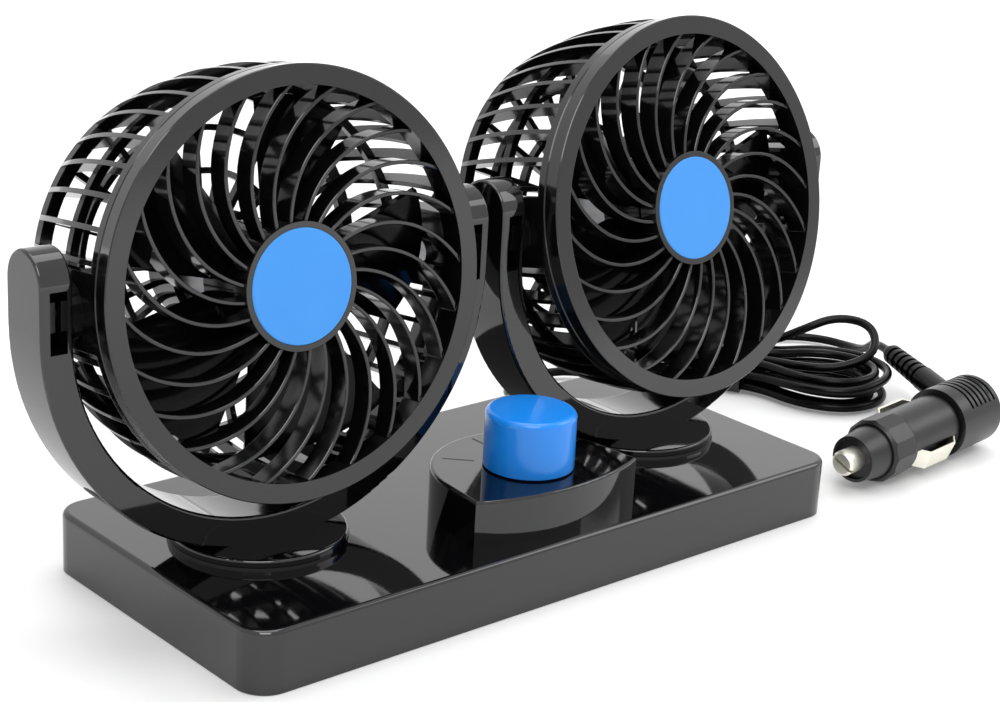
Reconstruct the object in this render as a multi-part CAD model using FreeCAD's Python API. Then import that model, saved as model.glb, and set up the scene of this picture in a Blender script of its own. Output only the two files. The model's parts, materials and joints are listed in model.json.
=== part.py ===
"""Twin-head fan for a car dashboard: a plinth with a speed knob, two swivelling and tilting fan heads,
and a power cord with a lighter-socket plug. Millimetres, +Z up, front towards -Y, long side along X."""

import FreeCAD, Part
import math
import os

Vector = FreeCAD.Vector
X_AXIS = Vector(1, 0, 0)
Y_AXIS = Vector(0, 1, 0)
Z_AXIS = Vector(0, 0, 1)

# Fits
RUNNING_GAP = 0.05
ASSEMBLY_GAP = 0.05
MOVING_GAP = 0.4
SEAT_PLAY = 0.1
OVERLAP = 0.6

# Tolerances of searches and measurements
NEAR = 0.01
ALIGNED = 0.9
SAMPLE_STEP = 1.5
SAMPLE_SKIP = 5
ARC_SHARE = 0.45

# Base housing
BASE_LENGTH = 222.0
BASE_WIDTH = 102.5
BASE_HEIGHT = 18.0
BASE_CORNER_RADIUS = 9.0
BASE_EDGE_RADIUS = 1.6
BASE_WALL = 2.4
PLATE_THICKNESS = 2.4
PLATE_SIDE_GAP = 0.2
BOSS_RADIUS = 4.0
BOSS_INSET = 14.0
BASE_SCREW_RADIUS = 1.5
BASE_SCREW_LENGTH = 9.0
BASE_SCREW_HEAD_RADIUS = 3.0
BASE_SCREW_HEAD_HEIGHT = 1.4
SCREW_SINK = 0.2
SCREW_HOLE_GAP = 0.2
SLOT_WIDTH = 0.8
SLOT_DEPTH = 0.6

# Control pod and knob
POD_X = 2.0
POD_HEIGHT = 13.5
POD_HALF_WIDTH = 31.2
POD_FRONT_DEPTH = 13.3
POD_FRONT_BULGE = 6.5
POD_BACK_RADIUS = 30.0
POD_BACK_OFFSET = 2.0
POD_EDGE_RADIUS = 1.0
KNOB_SETBACK = 25.25
KNOB_RADIUS = 13.4
KNOB_HEIGHT = 17.0
KNOB_LIFT = 0.5
KNOB_EDGE_RADIUS = 1.8
KNOB_WALL = 4.0
KNOB_HOLLOW_DEPTH = 5.5
SWITCH_SIDE = 16.0
SWITCH_HEIGHT = 11.0
BUSHING_RADIUS = 4.5
BUSHING_HEIGHT = 3.6
SWITCH_NUT_ACROSS_FLATS = 11.0
SWITCH_NUT_HEIGHT = 2.2
SHAFT_RADIUS = 3.0
SHAFT_FLAT = 0.6
SHAFT_HEIGHT = 13.0
SHAFT_DEPTH = 5.0

# Swivel feet
SWIVEL_Y = 2.0
COLLAR_BOTTOM_RADIUS = 25.6
COLLAR_TAPER = 0.1
COLLAR_HEIGHT = 1.0
FOOT_STEP = 0.3
FOOT_THICKNESS = 2.0
FOOT_EDGE_RADIUS = 0.8
SPINDLE_RADIUS = 7.0
SPINDLE_BORE = 3.5
SPINDLE_TAIL = 2.6
CLIP_GROOVE_DEPTH = 1.2
CLIP_THICKNESS = 1.4
CLIP_WIDTH = 4.2
CLIP_OPENING_ANGLE = 70.0

# Yokes
YOKE_HEAD_GAP = 3.6
YOKE_THICKNESS = 9.0
YOKE_WIDTH = 18.0
YOKE_ARC_DROP = 3.8
YOKE_FLOOR = 8.7
YOKE_SPACING = 5.8
YOKE_EDGE_RADIUS = 0.8
ARM_TOP_RISE = 8.5
POCKET_END_ROOM = 4.2
POCKET_WALL = 1.6
POCKET_SIDE_ROOM = 0.8
BOLT_RADIUS = 2.0
BOLT_HEAD_RADIUS = 3.5
BOLT_HEAD_HEIGHT = 2.2
BOLT_END_DEPTH = 1.4
NUT_SIDE = 8.0
NUT_THICKNESS = 3.2

# Fan heads, measured along the fan axis from the pivot, front positive
LEFT_SWIVEL = -2.0
RIGHT_SWIVEL = 0.8
LEFT_TILT = 7.4
RIGHT_TILT = 11.9
HEAD_FRONT = 19.4
BEZEL_DEPTH = 5.4
BEZEL_WIDTH = 5.5
BEZEL_FLARE = 0.3
BEZEL_CHAMFER = 0.25
SEAM_CHAMFER = 0.35
RIM_OUTER_RADIUS = 58.0
RIM_WIDTH = 3.0
RIM_DEPTH = 3.0
CAGE_DEPTH = 44.0
CAGE_TAPER = 6.8
RIB_COUNT = 42
RIB_THICKNESS = 1.4
RIB_DEPTH = 5.0
RIB_BOW = 2.2
RIB_STEP = 0.2
REAR_HOOP_WIDTH = 3.6
REAR_HOOP_THICKNESS = 2.8
MID_HOOP_LIFT = 22.0
MID_HOOP_WIDTH = 2.4
MID_HOOP_THICKNESS = 2.4
GUARD_BAR_COUNT = 21
GUARD_BAR_WIDTH = 1.8
GUARD_HOOP_RADII = (26.0, 38.0)
GUARD_HOOP_WIDTH = 1.8
PAD_HALF_WIDTH = 10.5
PAD_STEP = 0.4
TRUNNION_RADIUS = 7.5
VANE_COUNT = 24
VANE_THICKNESS = 1.1
VANE_SETBACK = 0.9
VANE_DEPTH = 6.7
VANE_MID_RADIUS = 33.6
VANE_MID_TURN = 15.0
VANE_HUB_TURN = 34.5
GRILLE_HUB_RADIUS = 17.3
GRILLE_HUB_SETBACK = 0.2
GRILLE_HUB_DEPTH = 6.2
BADGE_RIM = 1.65
BADGE_THICKNESS = 1.5
BADGE_EDGE_RADIUS = 0.4
MOTOR_RADIUS = 13.75
MOTOR_LENGTH = 32.0
MOTOR_EDGE_RADIUS = 1.2
MOTOR_BOSS_RADIUS = 5.0
MOTOR_BOSS_HEIGHT = 1.6
MOTOR_BEARING_WALL = 2.4
MOTOR_SHAFT_RADIUS = 1.15
MOTOR_SHAFT_COVER = 1.4
MOTOR_CUP_WALL = 2.4
MOTOR_CUP_DEPTH = 10.0
MOTOR_SCREW_RADIUS = 1.3
MOTOR_SCREW_OFFSET = 8.0
MOTOR_SCREW_DEPTH = 5.0
MOTOR_SCREW_HEAD_RADIUS = 2.6
MOTOR_SCREW_HEAD_HEIGHT = 1.6
BLADE_COUNT = 5
BLADE_TIP_GAP = 1.0
BLADE_THICKNESS = 1.6
BLADE_ROOT_CHORD = 17.0
BLADE_TIP_CHORD = 46.0
BLADE_ROOT_PITCH = 38.0
BLADE_TIP_PITCH = 21.0
BLADE_CAMBER = 0.06
BLADE_STANDOFF = 11.3
IMPELLER_HUB_WALL = 1.45
IMPELLER_HUB_DEPTH = 16.8
IMPELLER_HUB_GAP = 1.2
IMPELLER_HUB_CAP = 3.0
IMPELLER_HUB_EDGE = 1.6
IMPELLER_BOSS_RADIUS = 3.4

# Power cord and its outlet in the back wall
CORD_DIAMETER = 3.2
GLAND_X = 80.0
GLAND_Z = 9.0
GLAND_NECK_RADIUS = 4.4
GLAND_FLANGE_RADIUS = 6.0
GLAND_FLANGE_THICKNESS = 1.6
GLAND_LENGTH = 8.0
GLAND_END_RADIUS = 2.6
HANK_CENTRE = (177.3, 50.3)
HANK_HEADING = -58.0
LOBE_OFFSET = 34.0
LOBE_RADIUS = 21.0
LOBE_PITCH = 4.6
WAIST_HALF_WIDTH = 10.4
WAIST_PITCH = 4.3
LAYER_COUNT = 3
LAYER_PITCH = 4.2
STATIONS_PER_TURN = 8
STATIONS_PER_LAYER = 17
STATION_TOTAL = 49
FIRST_STATION = 7
TIE_THICKNESS = 0.8
TIE_WIDTH = 5.0
TIE_GAP = 0.3

# Lighter-socket plug, measured along its axis from the tip
PLUG_TIP_PLACE = (125.0, -43.2)
PLUG_YAW = 4.5
TIP_RADIUS = 4.2
TIP_CHAMFER = 0.8
TIP_REACH = 6.0
TIP_LIP = 1.2
TIP_FLANGE_THICKNESS = 1.6
TIP_SLOT_WIDTH = 0.9
TIP_SLOT_DEPTH = 2.4
TIP_SLOT_ANGLE = 25.0
NOSE_FRONT_RADIUS = 7.8
NOSE_LIP = 1.0
NOSE_RECESS = 1.4
NOSE_LENGTH = 10.0
NOSE_WALL = 2.8
COLLAR_LENGTH = 12.0
COLLAR_RADIUS = 10.8
COLLAR_WALL = 1.9
COLLAR_CHAMFER = 1.2
COLLAR_SIDES = 12
PLUG_BODY_RADIUS = 10.2
BARREL_LENGTH = 26.5
GRIP_LENGTH = 23.5
GRIP_RADIUS = 12.0
GRIP_EDGE_RADIUS = 2.0
GRIP_SEAT_STEP = 1.0
GRIP_SEAT_LENGTH = 8.0
GRIP_SEAM = 1.2
GRIP_GROOVE_COUNT = 6
GRIP_GROOVE_PITCH = 2.6
GRIP_GROOVE_WIDTH = 1.2
GRIP_GROOVE_DEPTH = 1.0
GRIP_GROOVE_SETBACK = 6.0
GRIP_GROOVE_FLOOR = 6.5
FUSE_RADIUS = 3.15
FUSE_LENGTH = 26.0
FUSE_CAP_LENGTH = 6.0
FUSE_CAP_STEP = 0.3
FUSE_INSET = 3.0
SPRING_WIRE_RADIUS = 0.35
SPRING_RADIUS = 2.6
SPRING_TURNS = 5
CONTACT_SETBACK = 0.8
CONTACT_LENGTH = 23.5
CONTACT_RAMP = 5.0
CONTACT_WIDTH = 7.0
CONTACT_THICKNESS = 0.7
CONTACT_RISE = 2.2
CONTACT_ANGLE = -22.0
RELIEF_SETBACK = 17.5
RELIEF_ANGLE = 60.0
RELIEF_NECK_RADIUS = 4.5
RELIEF_NECK_END = 32.0
RELIEF_TAPER_LENGTH = 29.0
RELIEF_RIB_COUNT = 6
RELIEF_RIB_PITCH = 4.3
RELIEF_RIB_RADIUS = 4.2
RELIEF_CORE_RADIUS = 3.0
RELIEF_END_RADIUS = 2.4
RELIEF_RIB_WIDTH = 2.4

# Free stretches of the cord: routes in the hank's own frame or the room's
LEAD_FIRST_RUN = 10.0
LEAD_POINTS = [(84.0, 86.0, 6.0), (97.0, 97.0, 3.6), (114.0, 98.5, 2.7)]
LEAD_LAST_RUN = 20.0
TAIL_FIRST_RUN = 9.0
TAIL_POINTS_ON_HANK = [
    (24.0, -7.0, 12.2),
    (37.0, -5.0, 12.6),
    (49.5, 1.5, 18.0),
    (46.0, 13.5, 25.5),
    (32.0, 14.5, 26.5),
    (20.0, 8.5, 21.0),
    (11.0, 10.5, 15.2),
    (1.0, 17.0, 11.5),
]
TAIL_POINTS = [
    (197.0, 71.0, 7.0),
    (208.0, 78.0, 3.6),
    (221.0, 78.0, 2.2),
    (233.5, 73.0, 2.0),
    (241.0, 63.5, 2.0),
    (241.5, 51.5, 2.6),
    (236.0, 39.0, 5.5),
]
TAIL_LAST_RUN = 12.0

# Sizes that follow from the ones above
POD_TOP = BASE_HEIGHT + POD_HEIGHT
CEILING = BASE_HEIGHT - BASE_WALL
KNOB_Y = KNOB_SETBACK - BASE_WIDTH / 2
COLLAR_TOP = BASE_HEIGHT + COLLAR_HEIGHT
COLLAR_TOP_RADIUS = COLLAR_BOTTOM_RADIUS - COLLAR_TAPER
FOOT_BOTTOM = COLLAR_TOP + SEAT_PLAY
FOOT_RADIUS = COLLAR_TOP_RADIUS - FOOT_STEP
CLIP_TOP = CEILING - SEAT_PLAY
CLIP_INNER_RADIUS = SPINDLE_RADIUS - CLIP_GROOVE_DEPTH
YOKE_INNER_RADIUS = RIM_OUTER_RADIUS + YOKE_HEAD_GAP
YOKE_OUTER_RADIUS = YOKE_INNER_RADIUS + YOKE_THICKNESS
YOKE_ARC_HEIGHT = FOOT_BOTTOM + YOKE_FLOOR + YOKE_INNER_RADIUS
PIVOT_HEIGHT = YOKE_ARC_HEIGHT + YOKE_ARC_DROP
POCKET_WIDTH = NUT_THICKNESS + 2 * POCKET_SIDE_ROOM
SWIVEL_X = YOKE_OUTER_RADIUS + YOKE_SPACING / 2
TRUNNION_FACE = YOKE_INNER_RADIUS - MOVING_GAP
HEAD_SEAM = HEAD_FRONT - BEZEL_DEPTH
BEZEL_FRONT_RADIUS = RIM_OUTER_RADIUS + BEZEL_FLARE
APERTURE_RADIUS = BEZEL_FRONT_RADIUS - BEZEL_WIDTH
RIM_INNER_RADIUS = RIM_OUTER_RADIUS - RIM_WIDTH
RIM_REAR = HEAD_SEAM - RIM_DEPTH
HEAD_REAR = RIM_REAR - CAGE_DEPTH
REAR_HOOP_RADIUS = RIM_OUTER_RADIUS - CAGE_TAPER
MID_HOOP_PLACE = HEAD_REAR + MID_HOOP_LIFT
PAD_INNER = RIM_INNER_RADIUS - PAD_STEP
VANE_FRONT = HEAD_FRONT - VANE_SETBACK
VANE_REAR = VANE_FRONT - VANE_DEPTH
GRILLE_HUB_FRONT = HEAD_FRONT - GRILLE_HUB_SETBACK
GRILLE_HUB_REAR = GRILLE_HUB_FRONT - GRILLE_HUB_DEPTH
BADGE_RADIUS = GRILLE_HUB_RADIUS - BADGE_RIM
MOTOR_REAR = HEAD_REAR + REAR_HOOP_THICKNESS
MOTOR_FRONT = MOTOR_REAR + MOTOR_LENGTH
MOTOR_BOSS_FRONT = MOTOR_FRONT + MOTOR_BOSS_HEIGHT
MOTOR_BORE_REAR = MOTOR_REAR + MOTOR_SCREW_DEPTH + MOTOR_BEARING_WALL
MOTOR_CUP_RADIUS = MOTOR_RADIUS + ASSEMBLY_GAP + MOTOR_CUP_WALL
IMPELLER_CUP_RADIUS = MOTOR_RADIUS + MOVING_GAP
IMPELLER_HUB_RADIUS = IMPELLER_CUP_RADIUS + IMPELLER_HUB_WALL
IMPELLER_HUB_FRONT = GRILLE_HUB_REAR - IMPELLER_HUB_GAP
IMPELLER_HUB_REAR = IMPELLER_HUB_FRONT - IMPELLER_HUB_DEPTH
MOTOR_SHAFT_FRONT = IMPELLER_HUB_FRONT - MOTOR_SHAFT_COVER
BLADE_PLACE = VANE_REAR - BLADE_STANDOFF
CORD_RADIUS = CORD_DIAMETER / 2
LAYER_HEIGHT = TIE_THICKNESS + TIE_GAP + CORD_RADIUS
TIP_FLANGE_RADIUS = TIP_RADIUS + TIP_LIP
TIP_FLANGE_PLACE = TIP_REACH + NOSE_WALL + SEAT_PLAY
NOSE_REAR_RADIUS = COLLAR_RADIUS - COLLAR_WALL
COLLAR_FRONT = TIP_REACH + NOSE_LENGTH
COLLAR_REAR = COLLAR_FRONT + COLLAR_LENGTH
GRIP_FRONT = COLLAR_REAR + BARREL_LENGTH
GRIP_REAR = GRIP_FRONT + GRIP_LENGTH
GRIP_SEAT_RADIUS = PLUG_BODY_RADIUS - GRIP_SEAT_STEP
FUSE_FRONT = COLLAR_REAR - FUSE_INSET
FUSE_REAR = FUSE_FRONT + FUSE_LENGTH
CONTACT_FRONT = COLLAR_REAR + CONTACT_SETBACK
CONTACT_REAR = CONTACT_FRONT + CONTACT_LENGTH
RELIEF_PLACE = GRIP_FRONT + RELIEF_SETBACK
RELIEF_END = RELIEF_NECK_END + RELIEF_TAPER_LENGTH
PLUG_PITCH = math.degrees(math.asin((GRIP_RADIUS - COLLAR_RADIUS) / (GRIP_FRONT - COLLAR_FRONT)))
SIDES = {
    "left": (-SWIVEL_X, LEFT_SWIVEL, LEFT_TILT),
    "right": (SWIVEL_X, RIGHT_SWIVEL, RIGHT_TILT),
}


def polar(radius, degrees, height=0.0):
    """Point at a radius and angle about Z."""
    angle = math.radians(degrees)
    return Vector(radius * math.cos(angle), radius * math.sin(angle), height)


def cylinder(radius, low, high, x=0.0, y=0.0):
    """Upright cylinder between two heights."""
    return Part.makeCylinder(radius, high - low, Vector(x, y, low))


def tube(outer, inner, low, high, x=0.0, y=0.0):
    """Upright ring between two heights."""
    return cylinder(outer, low, high, x, y).cut(cylinder(inner, low, high, x, y))


def box(low, high):
    """Box between two corners."""
    size = Vector(*high) - Vector(*low)
    return Part.makeBox(size.x, size.y, size.z, Vector(*low))


def prism(points, thickness, direction):
    """Polygon pushed along a direction."""
    wire = Part.makePolygon(points + [points[0]])
    return Part.Face(wire).extrude(direction * thickness)


def revolve_profile(pairs):
    """Closed outline of (radius, height) pairs turned about Z."""
    points = [Vector(radius, 0, height) for radius, height in pairs]
    face = Part.Face(Part.makePolygon(points + [points[0]]))
    return face.revolve(Vector(0, 0, 0), Z_AXIS, 360)


def edges_where(shape, test):
    """Edges whose every vertex passes the test."""
    return [edge for edge in shape.Edges if all(test(vertex.Point) for vertex in edge.Vertexes)]


def rounded_block(length, width, low, high, corner):
    """Block centred on the origin with rounded upright corners."""
    block = box((-length / 2, -width / 2, low), (length / 2, width / 2, high))
    upright = [edge for edge in block.Edges if abs(edge.tangentAt(edge.FirstParameter).z) > ALIGNED]
    return block.makeFillet(corner, upright)


def one_solid(shape):
    """The single clean solid of a boolean result."""
    shape = shape.removeSplitter()
    return shape.Solids[0] if len(shape.Solids) == 1 else shape


def joined(shapes):
    """Fuse a list of shapes."""
    return one_solid(shapes[0].multiFuse(shapes[1:]))


def moved(shape, placement):
    """Copy of a shape at a placement."""
    return shape.transformed(placement.toMatrix(), True)


def turned_copies(shape, count, first=0.0):
    """Evenly turned copies about Z."""
    step = 360.0 / count
    copies = []
    for index in range(count):
        rotation = FreeCAD.Rotation(Z_AXIS, first + index * step)
        copies.append(moved(shape, FreeCAD.Placement(Vector(0, 0, 0), rotation)))
    return copies


def hex_prism(across_flats, low, high, x=0.0, y=0.0):
    """Upright hexagon."""
    radius = across_flats / math.sqrt(3)
    points = [polar(radius, 60 * index, low) + Vector(x, y, 0) for index in range(6)]
    return prism(points, high - low, Z_AXIS)


# Base

def screw_places():
    """Centres of the base screws."""
    x = BASE_LENGTH / 2 - BOSS_INSET
    y = BASE_WIDTH / 2 - BOSS_INSET
    return [(sx * x, sy * y) for sx in (-1, 1) for sy in (-1, 1)]


def pod_outline(inset, height):
    """Outline of the control pod: bowed front, straight sides and a round back."""
    half = POD_HALF_WIDTH - inset
    corner_y = KNOB_Y - POD_FRONT_DEPTH + inset
    radius = POD_BACK_RADIUS - inset
    back_y = KNOB_Y - POD_BACK_OFFSET
    left = Vector(POD_X - half, corner_y, height)
    right = Vector(POD_X + half, corner_y, height)
    nose = Vector(POD_X, corner_y - POD_FRONT_BULGE, height)
    back_left = Vector(POD_X - radius, back_y, height)
    back_right = Vector(POD_X + radius, back_y, height)
    back = Vector(POD_X, back_y + radius, height)
    edges = [
        Part.Arc(left, nose, right).toShape(),
        Part.LineSegment(right, back_right).toShape(),
        Part.Arc(back_right, back, back_left).toShape(),
        Part.LineSegment(back_left, left).toShape(),
    ]
    return Part.Face(Part.Wire(edges))


def make_base_housing():
    """Moulded shell with the pod, the swivel collars and the screw bosses."""
    shell = rounded_block(BASE_LENGTH, BASE_WIDTH, 0, BASE_HEIGHT, BASE_CORNER_RADIUS)
    top_edges = edges_where(shell, lambda point: point.z > BASE_HEIGHT - NEAR)
    shell = shell.makeFillet(BASE_EDGE_RADIUS, top_edges)
    pod = pod_outline(0, CEILING).extrude(Z_AXIS * (POD_TOP - CEILING))
    pod = pod.makeFillet(POD_EDGE_RADIUS, edges_where(pod, lambda point: point.z > POD_TOP - NEAR))
    solids = [shell, pod]
    for side in (-1, 1):
        base = Vector(side * SWIVEL_X, SWIVEL_Y, BASE_HEIGHT - OVERLAP)
        slope = (COLLAR_BOTTOM_RADIUS - COLLAR_TOP_RADIUS) / COLLAR_HEIGHT
        start = COLLAR_BOTTOM_RADIUS + slope * OVERLAP
        solids.append(Part.makeCone(start, COLLAR_TOP_RADIUS, COLLAR_HEIGHT + OVERLAP, base))
    outside = joined(solids)
    hollow = rounded_block(
        BASE_LENGTH - 2 * BASE_WALL,
        BASE_WIDTH - 2 * BASE_WALL,
        -1,
        CEILING,
        BASE_CORNER_RADIUS - BASE_WALL,
    )
    pod_hollow = pod_outline(BASE_WALL, CEILING - OVERLAP).extrude(
        Z_AXIS * (POD_TOP - BASE_WALL - CEILING + OVERLAP)
    )
    housing = outside.cut(hollow.fuse(pod_hollow))
    bosses = [cylinder(BOSS_RADIUS, PLATE_THICKNESS, CEILING + OVERLAP, x, y) for x, y in screw_places()]
    housing = joined([housing] + bosses)
    cuts = []
    for x, y in screw_places():
        depth = SCREW_SINK + BASE_SCREW_HEAD_HEIGHT + BASE_SCREW_LENGTH + ASSEMBLY_GAP
        cuts.append(cylinder(BASE_SCREW_RADIUS + ASSEMBLY_GAP, 0, depth, x, y))
    for side in (-1, 1):
        bore = SPINDLE_RADIUS + RUNNING_GAP
        cuts.append(cylinder(bore, CEILING - OVERLAP, COLLAR_TOP + OVERLAP, side * SWIVEL_X, SWIVEL_Y))
    cuts.append(cylinder(BUSHING_RADIUS + ASSEMBLY_GAP, CEILING, POD_TOP + OVERLAP, POD_X, KNOB_Y))
    gland_hole = Part.makeCylinder(
        GLAND_NECK_RADIUS + ASSEMBLY_GAP,
        BASE_WALL + 2 * OVERLAP,
        Vector(GLAND_X, BASE_WIDTH / 2 - BASE_WALL - OVERLAP, GLAND_Z),
        Y_AXIS,
    )
    cuts.append(gland_hole)
    return one_solid(housing.cut(cuts[0].multiFuse(cuts[1:])))


def make_bottom_plate():
    """Flat closing plate with sunk screw seats."""
    inset = 2 * (BASE_WALL + PLATE_SIDE_GAP)
    corner = BASE_CORNER_RADIUS - BASE_WALL - PLATE_SIDE_GAP
    plate = rounded_block(BASE_LENGTH - inset, BASE_WIDTH - inset, 0, PLATE_THICKNESS, corner)
    seat = SCREW_SINK + BASE_SCREW_HEAD_HEIGHT
    for x, y in screw_places():
        plate = plate.cut(cylinder(BASE_SCREW_RADIUS + SCREW_HOLE_GAP, 0, PLATE_THICKNESS, x, y))
        plate = plate.cut(cylinder(BASE_SCREW_HEAD_RADIUS + SCREW_HOLE_GAP, 0, seat, x, y))
    return one_solid(plate)


def make_base_screws():
    """Four slotted screws from below."""
    screws = []
    seat = SCREW_SINK + BASE_SCREW_HEAD_HEIGHT
    for x, y in screw_places():
        head = cylinder(BASE_SCREW_HEAD_RADIUS, SCREW_SINK, seat, x, y)
        shank = cylinder(BASE_SCREW_RADIUS, seat - OVERLAP, seat + BASE_SCREW_LENGTH, x, y)
        reach = BASE_SCREW_HEAD_RADIUS + OVERLAP
        half = SLOT_WIDTH / 2
        slot = box((x - reach, y - half, 0), (x + reach, y + half, SCREW_SINK + SLOT_DEPTH))
        screws.append(one_solid(head.fuse(shank).cut(slot)))
    return Part.makeCompound(screws)


def make_switch_body():
    """Rotary switch hung from the pod's roof, with its bushing."""
    roof = POD_TOP - BASE_WALL
    half = SWITCH_SIDE / 2
    case = box(
        (POD_X - half, KNOB_Y - half, roof - SWITCH_HEIGHT),
        (POD_X + half, KNOB_Y + half, roof),
    )
    bushing = cylinder(BUSHING_RADIUS, roof - OVERLAP, POD_TOP + BUSHING_HEIGHT, POD_X, KNOB_Y)
    bore = cylinder(
        SHAFT_RADIUS + RUNNING_GAP,
        POD_TOP - SHAFT_DEPTH - RUNNING_GAP,
        POD_TOP + BUSHING_HEIGHT,
        POD_X,
        KNOB_Y,
    )
    return one_solid(case.fuse(bushing).cut(bore))


def make_switch_nut():
    """Hexagon nut that clamps the switch to the pod."""
    top = POD_TOP + SWITCH_NUT_HEIGHT
    nut = hex_prism(SWITCH_NUT_ACROSS_FLATS, POD_TOP, top, POD_X, KNOB_Y)
    hole = cylinder(BUSHING_RADIUS + ASSEMBLY_GAP, POD_TOP, top, POD_X, KNOB_Y)
    return one_solid(nut.cut(hole))


def switch_shaft_form(gap):
    """Shaft with a flat along its upper part, grown by a gap for the knob's socket."""
    low = POD_TOP - SHAFT_DEPTH
    top = POD_TOP + SHAFT_HEIGHT + gap
    radius = SHAFT_RADIUS + gap
    shaft = cylinder(radius, low, top, POD_X, KNOB_Y)
    flat_y = KNOB_Y + SHAFT_RADIUS - SHAFT_FLAT + gap
    flat_from = POD_TOP + BUSHING_HEIGHT + MOVING_GAP
    flat = box(
        (POD_X - radius, flat_y, flat_from),
        (POD_X + radius, KNOB_Y + radius + OVERLAP, top),
    )
    return one_solid(shaft.cut(flat))


def make_knob():
    """Plain round knob, hollow below where it covers the nut."""
    low = POD_TOP + KNOB_LIFT
    top = low + KNOB_HEIGHT
    knob = cylinder(KNOB_RADIUS, low, top, POD_X, KNOB_Y)
    knob = knob.makeFillet(KNOB_EDGE_RADIUS, edges_where(knob, lambda point: point.z > top - NEAR)[:1])
    hollow = cylinder(KNOB_RADIUS - KNOB_WALL, low, low + KNOB_HOLLOW_DEPTH, POD_X, KNOB_Y)
    return one_solid(knob.cut(hollow).cut(switch_shaft_form(ASSEMBLY_GAP)))


# Swivel yokes

def yoke_outline():
    """U-shaped outline of the yoke in its own plane."""
    top = PIVOT_HEIGHT + ARM_TOP_RISE + YOKE_WIDTH / 2
    centre = YOKE_ARC_HEIGHT
    inner = YOKE_INNER_RADIUS
    outer = YOKE_OUTER_RADIUS
    corner = [Vector(-outer, 0, top), Vector(-outer, 0, centre), Vector(0, 0, centre - outer)]
    corner += [Vector(outer, 0, centre), Vector(outer, 0, top), Vector(inner, 0, top)]
    corner += [Vector(inner, 0, centre), Vector(0, 0, centre - inner), Vector(-inner, 0, centre)]
    corner += [Vector(-inner, 0, top)]
    edges = [
        Part.LineSegment(corner[0], corner[1]).toShape(),
        Part.Arc(corner[1], corner[2], corner[3]).toShape(),
        Part.LineSegment(corner[3], corner[4]).toShape(),
        Part.LineSegment(corner[4], corner[5]).toShape(),
        Part.LineSegment(corner[5], corner[6]).toShape(),
        Part.Arc(corner[6], corner[7], corner[8]).toShape(),
        Part.LineSegment(corner[8], corner[9]).toShape(),
        Part.LineSegment(corner[9], corner[0]).toShape(),
    ]
    return Part.Face(Part.Wire(edges))


def make_yoke():
    """U-shaped yoke with rounded arm tops, bolt pockets, a round foot and a hollow spindle."""
    half = YOKE_WIDTH / 2
    band = yoke_outline()
    band.translate(Y_AXIS * -half)
    band = band.extrude(Y_AXIS * YOKE_WIDTH)
    arm_top = PIVOT_HEIGHT + ARM_TOP_RISE
    reach = YOKE_OUTER_RADIUS + OVERLAP
    lower = box((-reach, -half, FOOT_BOTTOM), (reach, half, arm_top))
    cap = Part.makeCylinder(half, 2 * reach, Vector(-reach, 0, arm_top), X_AXIS)
    band = one_solid(band.common(lower.fuse(cap)))
    long_edges = []
    for edge in band.Edges:
        box_of_edge = edge.BoundBox
        flat = box_of_edge.YLength < NEAR and abs(abs(box_of_edge.YMin) - half) < NEAR
        above_foot = box_of_edge.ZMax > FOOT_BOTTOM + FOOT_THICKNESS + OVERLAP
        if flat and above_foot:
            long_edges.append(edge)
    band = band.makeFillet(YOKE_EDGE_RADIUS, long_edges)
    foot = cylinder(FOOT_RADIUS, FOOT_BOTTOM, FOOT_BOTTOM + FOOT_THICKNESS)
    rim = edges_where(foot, lambda point: point.z > FOOT_BOTTOM + FOOT_THICKNESS - NEAR)
    foot = foot.makeFillet(FOOT_EDGE_RADIUS, rim[:1])
    spindle_end = CLIP_TOP - CLIP_THICKNESS - SPINDLE_TAIL
    spindle = cylinder(SPINDLE_RADIUS, spindle_end, FOOT_BOTTOM + OVERLAP)
    groove_low = CLIP_TOP - CLIP_THICKNESS - ASSEMBLY_GAP
    groove = tube(SPINDLE_RADIUS + OVERLAP, CLIP_INNER_RADIUS, groove_low, CLIP_TOP + ASSEMBLY_GAP)
    spindle = spindle.cut(groove)
    yoke = joined([band, foot, spindle])
    yoke = yoke.cut(cylinder(SPINDLE_BORE, spindle_end, FOOT_BOTTOM + FOOT_THICKNESS))
    half_height = NUT_SIDE / 2 + POCKET_END_ROOM
    for side in (-1, 1):
        pocket_in = YOKE_INNER_RADIUS + POCKET_WALL
        pocket_out = pocket_in + POCKET_WIDTH
        low_x = min(side * pocket_in, side * pocket_out)
        pocket = box(
            (low_x, -half - OVERLAP, PIVOT_HEIGHT - half_height),
            (low_x + POCKET_WIDTH, NUT_SIDE / 2 + SCREW_HOLE_GAP, PIVOT_HEIGHT + half_height),
        )
        bore_from = YOKE_INNER_RADIUS - OVERLAP
        bore_length = pocket_out + BOLT_END_DEPTH + RUNNING_GAP - bore_from
        start = Vector(side * bore_from, 0, PIVOT_HEIGHT)
        bore = Part.makeCylinder(BOLT_RADIUS + RUNNING_GAP, bore_length, start, X_AXIS * side)
        yoke = yoke.cut(pocket.fuse(bore))
    return one_solid(yoke)


def make_swivel_clip():
    """Open spring clip in the spindle's groove, under the base's roof."""
    outer = CLIP_INNER_RADIUS + CLIP_WIDTH
    ring = tube(outer, CLIP_INNER_RADIUS + ASSEMBLY_GAP, CLIP_TOP - CLIP_THICKNESS, CLIP_TOP)
    reach = outer * 2
    half = CLIP_OPENING_ANGLE / 2
    low = CLIP_TOP - CLIP_THICKNESS - OVERLAP
    wedge = prism(
        [Vector(0, 0, low), polar(reach, -half, low), polar(reach, half, low)],
        CLIP_THICKNESS + 2 * OVERLAP,
        Z_AXIS,
    )
    return one_solid(ring.cut(wedge))


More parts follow.
